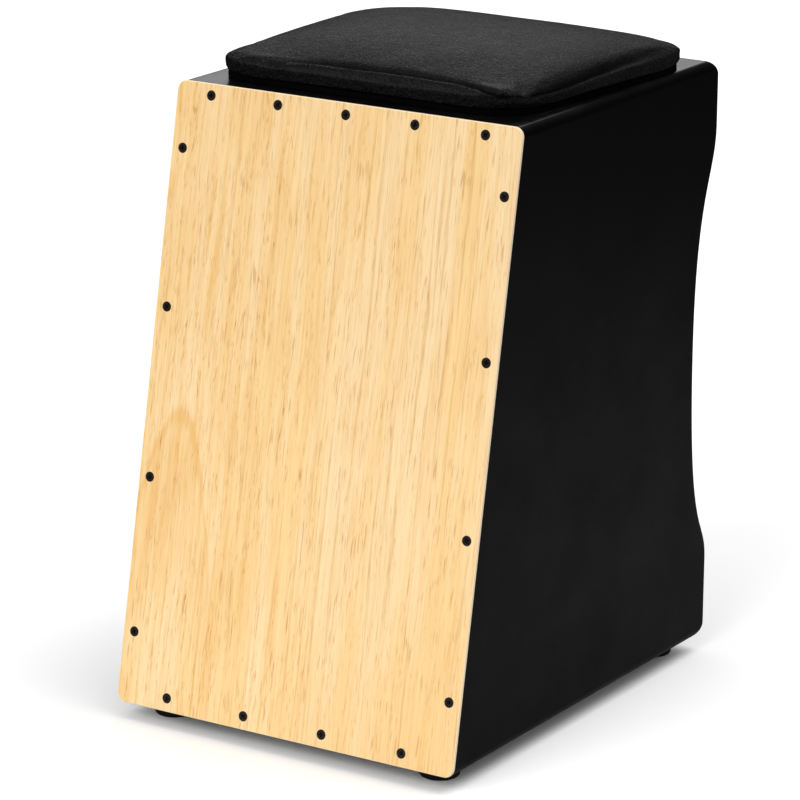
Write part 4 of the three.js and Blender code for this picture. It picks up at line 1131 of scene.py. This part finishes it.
def ripples(points, wavelength, seed, count=7, spread=0.5, heading=0.0, climb=0.0):
    """A wavy height in -1 to 1: the mean of sines of the places along random headings near one heading, which
    climb by a share, with random phases, each also shifted by a slower sine."""
    random = np.random.default_rng(seed)
    total = np.zeros(len(points))
    for _ in range(count):
        angle = heading + random.uniform(-spread, spread)
        lift = climb + random.uniform(-0.35, 0.35)
        direction = np.array([math.cos(angle), math.sin(angle), lift])
        size = wavelength * random.uniform(0.7, 1.5)
        slow = points @ random.normal(size=3) / (size * 4.5)
        total += np.sin(points @ direction * (2 * np.pi / size) + 1.6 * np.sin(slow) + random.uniform(0, 6.3))
    return total / count


def distance_to_path(points, path):
    """Distance in plan from each point to a path of straight stretches, and the share of the path's length
    where it is nearest."""
    best = np.full(len(points), 1e9)
    where = np.zeros(len(points))
    steps = np.linalg.norm(np.diff(path, axis=0), axis=1)
    before = np.concatenate([[0], np.cumsum(steps)])
    for a, b, length, start in zip(path[:-1], path[1:], steps, before):
        t = np.clip(((points[:, :2] - a) @ (b - a)) / length**2, 0, 1)
        gap = np.linalg.norm(points[:, :2] - (a + t[:, None] * (b - a)), axis=1)
        nearer = gap < best
        best = np.where(nearer, gap, best)
        where = np.where(nearer, (start + t * length) / before[-1], where)
    return best, where


def places_of(mesh):
    """The places of a mesh's points, in metres."""
    places = np.empty(len(mesh.vertices) * 3)
    mesh.vertices.foreach_get("co", places)
    return places.reshape(-1, 3)


def put_places(mesh, places):
    """Moves a mesh's points to places in metres."""
    mesh.vertices.foreach_set("co", places.ravel())
    mesh.update()


def stuff(thing, pinned, cap):
    """Fills a closed cover: cloth under pressure with no gravity, held where it is pinned, and moved along
    each axis by at most cap tanh(move / cap)."""
    scene = bpy.context.scene
    rest = places_of(thing.data)
    group = thing.vertex_groups.new(name="held")
    group.add(pinned.tolist(), 1.0, "REPLACE")
    cloth = thing.modifiers.new("stuffing", "CLOTH")
    settings = cloth.settings
    settings.quality = 5
    settings.mass = 0.3
    settings.tension_stiffness = settings.compression_stiffness = 12.0
    settings.shear_stiffness = 6.0
    settings.bending_stiffness = 1.2
    settings.use_pressure = True
    settings.uniform_pressure_force = 4.0
    settings.effector_weights.gravity = 0.0
    settings.vertex_group_mass = "held"
    cloth.point_cache.frame_start = 1
    cloth.point_cache.frame_end = CLOTH_FRAMES
    for number in range(1, CLOTH_FRAMES + 1):
        scene.frame_set(number)
    swollen = finished_mesh(thing, "swollen")
    move = places_of(swollen) - rest
    bpy.data.meshes.remove(swollen)
    thing.modifiers.remove(cloth)
    thing.vertex_groups.clear()
    scene.frame_set(1)
    put_places(thing.data, rest + cap * np.tanh(move / cap))


def wrinkle_cushion(mesh):
    """Moves the cover along its normals: a valley behind the front roll, a ridge before it, wrinkles on the
    front roll, pleats in the corners and slow waves over the top. How deep a place lies in a fold, and how
    far it belongs to the front roll, is kept for the finish, which darkens the folds as painted shade."""
    place = places_of(mesh) * 1000
    normal = np.empty(place.size)
    mesh.vertex_normals.foreach_get("vector", normal)
    normal = normal.reshape(-1, 3)
    x, y, z = place.T
    facing_up = np.clip((normal[:, 2] + 0.2) / 0.3, 0, 1) * np.clip((z - PAD_LOW - 6.0) / 3.0, 0, 1)
    gap, share = distance_to_path(place, np.array(CREASE_ROUTE, float))
    fade = np.clip(share / 0.16, 0, 1) * np.clip((1 - share) / 0.2, 0, 1)
    width = 4.2 - 1.2 * np.clip((share - 0.3) / 0.2, 0, 1)
    valley = np.exp(-((gap / width) ** 2)) * fade * facing_up
    lift = -millimetres("crease") * valley
    before = np.clip((-77 - y) / 5, 0, 1) * facing_up
    lift += 0.9 * np.exp(-(((gap - 8) / 4.5) ** 2)) * before * fade
    roll = np.clip((-77 - y) / 5, 0, 1) * np.clip((x + 134) / 20, 0, 1) * np.clip((150 - x) / 22, 0, 1)
    creases = ripples(place, 7.0, 11, heading=0.7, spread=0.35, climb=0.8)
    lift += millimetres("wrinkle") * (1 - 2 * np.abs(creases) ** 0.6) * roll
    lift += 0.13 * ripples(place, 38.0, 5, spread=3.0) + 0.07 * ripples(place, 12.0, 8, spread=3.0)
    pleats = np.zeros(len(place))
    for corner_x, corner_y, seed, amount in PLEATS:
        near = np.exp(-(((x - corner_x) / 15) ** 2 + ((y - corner_y) / 15) ** 2))
        turn = np.arctan2(y - corner_y * 0.8, x - corner_x * 0.8)
        fold = np.abs(np.sin(turn * 10 + 0.3 * z + seed)) ** 0.5
        side = np.clip(1 - np.abs(normal[:, 2]) / 0.95, 0, 1)
        pleats += amount * near * side * (1 - 1.6 * fold)
    lift += pleats
    flat = np.clip((z - PAD_LOW - 0.05) / 2.5, 0, 1) * np.clip((normal[:, 2] + 1) / 0.3, 0, 1)
    place += normal * (lift * flat)[:, None]
    put_places(mesh, place / 1000)
    # How deep each place lies in the crease or a pleat, which the finish darkens as painted shade, and how far
    # it belongs to the front roll
    low = np.clip(-pleats / 0.4, 0, 1)
    for label, values in (("fold", np.maximum(valley, low)), ("roll", roll)):
        mesh.attributes.new(label, "FLOAT", "POINT").data.foreach_set("value", values.astype(np.float32))


class CAJON_OT_cushion(PieceOperator, bpy.types.Operator):
    """Build the stuffed cushion: its cover is filled as cloth, then creased and wrinkled"""

    bl_idname = "cajon.cushion"
    bl_label = "Cushion"

    def build(self, scene):
        top, bottom, sides = cushion_grid()
        mesh = mesh_of("cushion_cover", [(top, False, False), (bottom, False, False), (sides, False, True)])
        cover = bpy.data.objects.new("cushion_cover", mesh)
        scene.collection.objects.link(cover)
        low = np.flatnonzero(places_of(mesh)[:, 2] < (PAD_LOW + 0.05) / 1000)
        swell = millimetres("pad_swell") / 1000
        stuff(cover, low, np.array([swell * SIDE_SWELL, swell * SIDE_SWELL, swell]))
        finer = cover.modifiers.new("finer", "SUBSURF")
        finer.levels = finer.render_levels = 1
        mesh = finished_mesh(cover, "seat_cushion")
        bpy.data.objects.remove(cover)
        wrinkle_cushion(mesh)
        piece = piece_of("seat_cushion", mesh, "pebbled_cover", "cushion", sharp=70.0)


class CAJON_OT_cushion_base(PieceOperator, bpy.types.Operator):
    """Build the cushion's wrapped base board and the four screws that hold it"""

    bl_idname = "cajon.cushion_base"
    bl_label = "Cushion Base"

    def build(self, scene):
        turn = np.linspace(0, 2 * np.pi, 240, endpoint=False)
        edge = np.stack([np.cos(turn), np.sin(turn)])
        u, v = pad_plan(*(edge / np.abs(edge).max(axis=0)))
        half = np.array(CUSHION_HALF) - BOARD_INSET
        x = CUSHION_CENTRE[0] + u * half[0] * (1 + PAD_FAN * v * (u > 0))
        outline = np.stack([x, CUSHION_CENTRE[1] + v * half[1]], -1)
        slide = line_normals(np.concatenate([outline[-1:], outline, outline[:1]]))[1:-1]
        rings = slab(outline, slide, (BASE_LOW, 0.6), (BASE_HIGH, 1.6), 5)
        mesh = slab_mesh("cushion_board", rings, [0, 1, 2])
        # The board's finish is painted near black as shade under the cushion.
        piece_of("cushion_board", mesh, "base_cloth_painted_shade", "cushion_base", even=True)
        for i, (sx, sy) in enumerate(CORNERS):
            x = CUSHION_CENTRE[0] + sx * 0.6 * CUSHION_HALF[0]
            y = CUSHION_CENTRE[1] + sy * 0.6 * CUSHION_HALF[1]
            add_screw(f"cushion_screw_{i + 1}", CUSHION_SCREW, upright(x, y, TOP_BOARD_UNDERSIDE))


class CAJON_OT_jack_plate(PieceOperator, bpy.types.Operator):
    """Build the jack plate and its four screws"""

    bl_idname = "cajon.jack_plate"
    bl_label = "Jack Plate"

    def build(self, scene):
        blank = plate_block("plate_blank", PLATE_HALF, (PLATE_BACK, 0.2), (PLATE_FACE, 0.8), 5)
        matrices = []
        for sx, sz in CORNERS:
            x, z = PLATE_X + sx * PLATE_SCREW_REACH[0], WAIST_Z + sz * PLATE_SCREW_REACH[1]
            matrices.append(Matrix.Translation((x, PLATE_FACE, z)) @ Matrix.Rotation(math.pi, 4, "X"))
        holes = [screw_hole(PLATE_SCREW, matrix) for matrix in matrices]
        near, far = PLATE_BACK - 9, PLATE_FACE + 9
        for radius, z in ((5.0, JACK_Z), (4.2, POT_Z)):
            profile = [(1e-6, near), (radius, near), (radius, far), (1e-6, far)]
            holes.append(turned_mesh("through_hole", profile, 48, (PLATE_X, 0, z)))
        piece_of("jack_cover", carved(blank, holes), "fitting_plastic", "jack_plate", sharp=28.0, even=True)
        for i, matrix in enumerate(matrices):
            twist = Matrix.Rotation(math.radians(20 + 33 * i), 4, "Y")
            add_screw(f"plate_screw_{i + 1}", PLATE_SCREW, matrix @ twist)


def threads(radius, start, end, pitch, depth):
    """A threaded length as a profile: the radius falls and rises once per pitch."""
    count = int(round((end - start) / pitch)) * 4
    y = np.linspace(start, end, count + 1)
    groove = depth * (0.5 - 0.5 * np.cos((y - start) * 2 * np.pi / pitch))
    return np.stack([radius - groove, y], -1)


def add_nut(name, node, flats, thickness, bore, z):
    """A hexagon nut along Y on the jack plate. Its flats are at radius f / cos t, and its faces are cut back
    to the inner circle by a cone of 30 degrees, so the chamfer reaches further at the corners."""
    base = PLATE_FACE + GLUE_LINE
    turn = np.linspace(0, 2 * np.pi, 72, endpoint=False)
    wide = flats / 2 / np.cos((turn + np.pi / 6) % (np.pi / 3) - np.pi / 6)
    tight = np.full_like(wide, flats / 2 * 0.99)
    fall = np.minimum((wide - tight) * math.tan(math.radians(30)), thickness * 0.45)
    inner = np.full_like(wide, bore)
    flat = np.zeros_like(wide)
    rows = [(inner, flat + 0.2), (inner + 0.25, flat), (tight, flat), (wide, fall), (wide, thickness - fall),
            (tight, flat + thickness), (inner + 0.35, flat + thickness), (inner, flat + thickness - 0.3)]
    grid = [np.stack([PLATE_X + r * np.cos(turn), base + y, z + r * np.sin(turn)], -1) for r, y in rows]
    piece_of(name, mesh_of(node, [(np.array(grid), True, True)]), "plated_steel", node, sharp=24.0)


class CAJON_OT_output_jack(PieceOperator, bpy.types.Operator):
    """Build the output jack with its threaded bushing and its nut"""

    bl_idname = "cajon.output_jack"
    bl_label = "Output Jack"

    def build(self, scene):
        mouth, shoulder = PLATE_FACE + 4.0, PLATE_BACK - SEAM
        bore_end = mouth - 31.0
        profile = np.concatenate([
            [(1e-6, bore_end - 3.0), (6.7, bore_end - 3.0), (7.5, bore_end - 2.2), (7.5, shoulder - 4.0),
             (7.1, shoulder - 3.7), (7.1, shoulder - 3.1), (7.5, shoulder - 2.8), (7.5, shoulder - 0.3),
             (7.2, shoulder), (4.7, shoulder)],
            threads(4.7, shoulder + 0.4, mouth - 0.6, 0.75, 0.22),
            [(4.4, mouth), (3.65, mouth), (3.25, mouth - 0.4), (3.25, mouth - 8.0), (3.25, bore_end + 0.3),
             (3.0, bore_end), (1e-6, bore_end)]])
        mesh = turned_mesh("output_jack", profile, 56, (PLATE_X, 0, JACK_Z))
        piece_of("jack_socket_body", mesh, "fitting_plastic", "output_jack")
        add_nut("jack_hex_nut", "jack_nut", 13.0, 2.4, 5.0, JACK_Z)


class CAJON_OT_volume_control(PieceOperator, bpy.types.Operator):
    """Build the volume control: its body, nut, shaft and knob"""

    bl_idname = "cajon.volume_control"
    bl_label = "Volume Control"

    def build(self, scene):
        shoulder, collar = PLATE_BACK - SEAM, PLATE_FACE + 5.0
        centre = (PLATE_X, 0, POT_Z)
        profile = np.concatenate([
            [(1e-6, shoulder - 9.0), (7.9, shoulder - 9.0), (8.5, shoulder - 8.4), (8.5, shoulder - 1.6),
             (8.1, shoulder - 1.3), (8.1, shoulder), (3.9, shoulder)],
            threads(3.9, shoulder + 0.3, collar - 0.4, 0.7, 0.2),
            [(3.7, collar), (3.1, collar), (3.1, shoulder - 4.3), (1e-6, shoulder - 4.3)]])
        piece_of("pot_case", turned_mesh("volume_pot", profile, 56, centre), "plated_steel", "volume_pot")
        add_nut("pot_hex_nut", "pot_nut", 10.0, 2.0, 4.2, POT_Z)
        start, end = shoulder - 4.0, shoulder + 15.0
        shaft = [(1e-6, start), (2.6, start), (2.95, start + 0.35), (2.95, end - 0.4), (2.55, end),
                 (1e-6, end)]
        piece_of("control_shaft", turned_mesh("pot_shaft", shaft, 40, centre), "plated_steel", "pot_shaft",
                 body="volume_control")
        self.add_knob(end, centre)

    def add_knob(self, shaft_end, centre):
        """A knob from its skirt to its crown, with 20 shallow flutes whose share of the full depth is
        ((1 + cos 20t) / 2)^1.5."""
        base, top = PLATE_FACE + 0.6, PLATE_FACE + 15.6
        flute_low, flute_high = base + 3.2, top - 1.2

        def flutes(turn, height):
            inside = np.clip((height - flute_low) / 0.8, 0, 1) * np.clip((flute_high - height) / 0.8, 0, 1)
            return 1 - 0.055 * inside * (0.5 + 0.5 * np.cos(20 * turn)) ** 1.5

        flank = np.stack([np.linspace(8.6, 8.2, 8), np.linspace(flute_low + 1.2, flute_high - 0.8, 8)], -1)
        profile = np.concatenate([
            [(1e-6, shaft_end + 0.3), (3.25, shaft_end + 0.3), (3.25, base + 6.0), (6.4, base + 6.0),
             (6.4, base), (8.7, base), (9.0, base + 0.3), (9.0, base + 2.2), (8.75, base + 2.8),
             (8.7, flute_low), (8.66, flute_low + 0.4), (8.6, flute_low + 0.8)],
            flank, [(8.18, flute_high - 0.4), (8.15, flute_high)], arc((7.3, top - 0.8), 0.8, 0, 90, 5),
            [(3.0, top), (1e-6, top)]])
        blank = turned_mesh("knob_blank", profile, 160, centre, wave=flutes)
        slot = block_mesh("pointer", (PLATE_X - 0.6, POT_Z), (PLATE_X + 0.6, POT_Z + 14.0), 0.5,
                          (top - 0.8, 0.0), (top + 3.0, 0.0), corner_steps=4)
        piece_of("control_knob", carved(blank, [slot]), "knob_plastic", "volume_knob", body="volume_control",
                 sharp=30.0, even=True)


def coil_grid(length, pitch, sides=4, steps=7):
    """A coiled wire: round a helix of radius R and the given pitch, a small circle of the wire's radius in
    the plane square to the helix."""
    coil, wire = millimetres("coil_radius"), millimetres("wire_radius")
    turns = length / pitch
    turn = np.linspace(0, 2 * np.pi * turns, int(turns * steps) + 1)[:, None]
    ring = np.linspace(0, 2 * np.pi, sides, endpoint=False)[None, :]
    rise = pitch / (2 * np.pi)
    speed = math.hypot(coil, rise)
    out = coil + wire * np.cos(ring)
    tilt = wire * np.sin(ring)
    x = out * np.cos(turn) + tilt * np.sin(turn) * rise / speed
    y = out * np.sin(turn) - tilt * np.cos(turn) * rise / speed
    z = turn * rise + tilt * coil / speed
    return np.stack([x, y, z], -1)


class CAJON_OT_snares(PieceOperator, bpy.types.Operator):
    """Build the two snares with their coiled wires, and their screws"""

    bl_idname = "cajon.snares"
    bl_label = "Snares"

    def build(self, scene):
        half, near, far, height = SNARE_BLOCK
        lean = math.asin((near + 0.35) / SNARE_WIRE_LENGTH)
        coil = coil_grid(SNARE_WIRE_LENGTH + 5.0, 0.74)
        for label, side in SIDES:
            place = FRONT @ Matrix.Translation((side * SNARE_OFFSET, 0, 0))
            middle = place @ Matrix.Translation((0, near, RAIL_TOP - height / 2))
            block = block_mesh("block_blank", (-half, RAIL_TOP - height), (half, RAIL_TOP), 1.6,
                               (near, 0.5), (far, 0.3), 4, 6, place)
            block = carved(block, [screw_hole(SNARE_SCREW, middle)])
            grids = []
            for x in np.linspace(-half + 4.0, half - 4.0, SNARE_WIRES):
                tilted = Matrix.Translation((x, near + 0.55, RAIL_TOP)) @ Matrix.Rotation(lean, 4, "X")
                matrix = np.array(place @ tilted @ Matrix.Translation((0, 0, -5.0)))
                grids.append(coil @ matrix[:3, :3].T + matrix[:3, 3])
            caps = [g[0] for g in grids] + [g[-1] for g in grids]
            wires = mesh_of("snare_wires", [(g, False, True) for g in grids], caps)
            work = bmesh.new()
            work.from_mesh(block)
            work.from_mesh(wires)
            work.to_mesh(block)
            work.free()
            piece_of(f"snare_wires_{label}", block, "plated_steel", f"snare_{label}", sharp=40.0)
            add_screw(f"snare_screw_{label}", SNARE_SCREW, middle, "plated_steel")


class CAJON_OT_inner_fittings(PieceOperator, bpy.types.Operator):
    """Finish the corner strips, the rail, the pickup, its lead and its clip"""

    bl_idname = "cajon.inner_fittings"
    bl_label = "Inner Fittings"

    def build(self, scene):
        for level in ("top", "bottom"):
            for side, _ in SIDES:
                dress(f"corner_strip_{level}_{side}", "pine_strip")
        dress("snare_rail", "pine_rail")
        dress("pickup_lead", "lead_jacket")
        dress("lead_clip", "fitting_plastic")
        height = (TOP_BOARD_UNDERSIDE - UNDERSIDE) / math.cos(SLOPE) - 80.0
        disc = np.concatenate([[(1e-6, 0.0), (13.3, 0.0), (13.5, 0.2), (13.5, 0.7), (13.3, 0.9), (10.2, 0.9)],
                               arc((9.4, 1.3), 0.7, -30, 90, 5), [(4.5, 2.0), (4.2, 2.4), (1e-6, 2.4)]])
        mesh = turned_mesh("pickup_disc", disc, 64, matrix=FRONT @ Matrix.Translation((0, 0, height)))
        piece_of("piezo_disc", mesh, "turned_brass", "pickup_disc")


CAMERA_PLACE = (1.71869, -2.74691, 1.18525)
CAMERA_AXES = ((0.84416, 0.53614, 0.00686), (-0.15563, 0.23276, 0.95999), (-0.51304, 0.81139, -0.27995))
CAMERA_LENS = 189.06

# The studio: half the floor's side in metres, the dome's light, what the dome shows to gloss, and on it the
# bright screens as (middle, cosines of the outer and inner edge, brightness); lamps as (name, strength, angle
# in degrees, middle)
FLOOR_REACH = 14.0
DOME = 0.66
SURROUND = 0.07
SCREENS = (
    ((-0.42, 0.72, 0.55), 0.93, 0.985, 1.1),
    ((-0.513, 0.811, 0.28), 0.985, 0.995, 0.95),
    ((-0.53, -0.55, 0.65), 0.86, 0.96, 3.0),
)
LAMPS = (("key", 1.2, 44, (0.3, 0.3, 0.9)), ("fill", 1.55, 44, (-0.1, -0.86, 0.5)))


def white_where_seen(graph, light, seen):
    """Mixes two shaders: the first lights the scene, the second is what the camera, gloss and glass see."""
    path = graph.node("ShaderNodeLightPath").outputs
    share = graph.math("MAXIMUM", graph.math("MAXIMUM", path["Is Camera Ray"], path["Is Glossy Ray"]),
                       path["Is Transmission Ray"])
    return graph.node("ShaderNodeMixShader", {0: share, 1: light, 2: seen}).outputs[0]


class CAJON_OT_stage(PieceOperator, bpy.types.Operator):
    """Build the pale floor, the soft studio light and the camera"""

    bl_idname = "cajon.stage"
    bl_label = "Stage"

    def build(self, scene):
        self.add_floor(scene)
        self.add_light(scene)
        self.add_camera(scene)
        scene.view_settings.view_transform = "Standard"

    def add_floor(self, scene):
        line = np.linspace(-FLOOR_REACH, FLOOR_REACH, 3)
        x, y = np.meshgrid(line, line, indexing="ij")
        mesh = bpy.data.meshes.new("floor")
        points = np.stack([x, y, x * 0], -1).reshape(-1, 3)
        mesh.from_pydata(points.tolist(), [], quads(3, 3, False, False)[:, ::-1].tolist())
        floor = bpy.data.objects.new("floor", mesh)
        scene.collection.objects.link(floor)
        material = bpy.data.materials.new("paper_floor")
        g = graph_of(material)
        place = g.place()
        near = g.mix(g.noise(place, 3.0, 2.0), grey(0.9), grey(0.93))
        # Painted shade: rays other than the camera's see the paper darken with distance from the middle,
        # towards near black from 0.75 to 1.9 metres, and by a further 38 percent throughout. This stands for
        # the studio's light falling off, as the drum's gloss reflects it. The camera sees the even paper with
        # a lift.
        painted_falloff = g.mix(g.ramp(g.vector("LENGTH", place)["Value"], 0.75, 1.9), near, grey(0.06))
        seen = g.node("ShaderNodeLightPath").outputs["Is Camera Ray"]
        tone = g.mix(seen, g.mix(0.38, painted_falloff, grey(0.0)), near)
        paper = g.node("ShaderNodeBsdfDiffuse", {"Color": tone}).outputs[0]
        lift = g.node("ShaderNodeBsdfDiffuse", {"Color": grey(0.12)}).outputs[0]
        lit = g.node("ShaderNodeAddShader", {0: paper, 1: lift}).outputs[0]
        mixed = g.node("ShaderNodeMixShader", {0: seen, 1: paper, 2: lit}).outputs[0]
        g.node("ShaderNodeOutputMaterial", {"Surface": mixed})
        mesh.materials.append(material)

    def add_light(self, scene):
        scene.world = bpy.data.worlds.new("studio")
        g = graph_of(scene.world)
        dome = g.node("ShaderNodeBackground", {"Color": grey(1.0), "Strength": DOME}).outputs[0]
        towards = g.node("ShaderNodeTexCoord").outputs["Generated"]
        screen = SURROUND
        for middle, outer, inner, level in SCREENS:
            screen = g.plus(screen, g.ramp(g.along(towards, middle), outer, inner, 0.0, level))
        level = g.math("MAXIMUM", screen, g.node("ShaderNodeLightPath").outputs["Is Camera Ray"])
        seen = g.node("ShaderNodeBackground", {"Color": grey(1.0), "Strength": level}).outputs[0]
        g.node("ShaderNodeOutputWorld", {"Surface": white_where_seen(g, dome, seen)})
        for name, energy, angle, middle in LAMPS:
            sun = bpy.data.lights.new(name, "SUN")
            sun.energy = energy
            sun.angle = math.radians(angle)
            lamp = bpy.data.objects.new(name, sun)
            lamp.rotation_euler = Vector(middle).to_track_quat("Z", "Y").to_euler()
            lamp.visible_glossy = name == "key"
            scene.collection.objects.link(lamp)

    def add_camera(self, scene):
        data = bpy.data.cameras.new("camera")
        data.lens = CAMERA_LENS
        data.sensor_width = 36.0
        data.clip_start, data.clip_end = 0.05, 100.0
        camera = bpy.data.objects.new("camera", data)
        right, up, forward = (Vector(axis) for axis in CAMERA_AXES)
        turn = Matrix((right, up, -forward)).transposed().to_4x4()
        camera.matrix_world = Matrix.Translation(CAMERA_PLACE) @ turn
        scene.collection.objects.link(camera)
        scene.camera = camera


STEPS = (
    CAJON_OT_stage, CAJON_OT_side_panels, CAJON_OT_top_and_bottom, CAJON_OT_back_panel, CAJON_OT_tapa,
    CAJON_OT_tapa_screws, CAJON_OT_feet, CAJON_OT_cushion_base, CAJON_OT_cushion, CAJON_OT_jack_plate,
    CAJON_OT_output_jack, CAJON_OT_volume_control, CAJON_OT_snares, CAJON_OT_inner_fittings,
)


class CAJON_PT_builder(bpy.types.Panel):
    """Lists what the cajon is built from"""

    bl_idname = "CAJON_PT_builder"
    bl_label = "Cajon"
    bl_space_type = "VIEW_3D"
    bl_region_type = "UI"
    bl_category = "Cajon"

    def draw(self, context):
        for step in STEPS:
            self.layout.operator(step.bl_idname)
        for group in (context.scene.cajon_sizes, context.scene.cajon_colours):
            box = self.layout.box()
            for name in group.__annotations__:
                box.prop(group, name)


CLASSES = (CajonSizes, CajonColours, *STEPS, CAJON_PT_builder)


def register():
    for item in CLASSES:
        bpy.utils.register_class(item)
    bpy.types.Scene.cajon_sizes = bpy.props.PointerProperty(type=CajonSizes)
    bpy.types.Scene.cajon_colours = bpy.props.PointerProperty(type=CajonColours)


def unregister():
    del bpy.types.Scene.cajon_colours
    del bpy.types.Scene.cajon_sizes
    for item in reversed(CLASSES):
        bpy.utils.unregister_class(item)


def main():
    register()
    for step in STEPS:
        group, name = step.bl_idname.split(".")
        getattr(getattr(bpy.ops, group), name)()


if __name__ == "__main__":
    main()
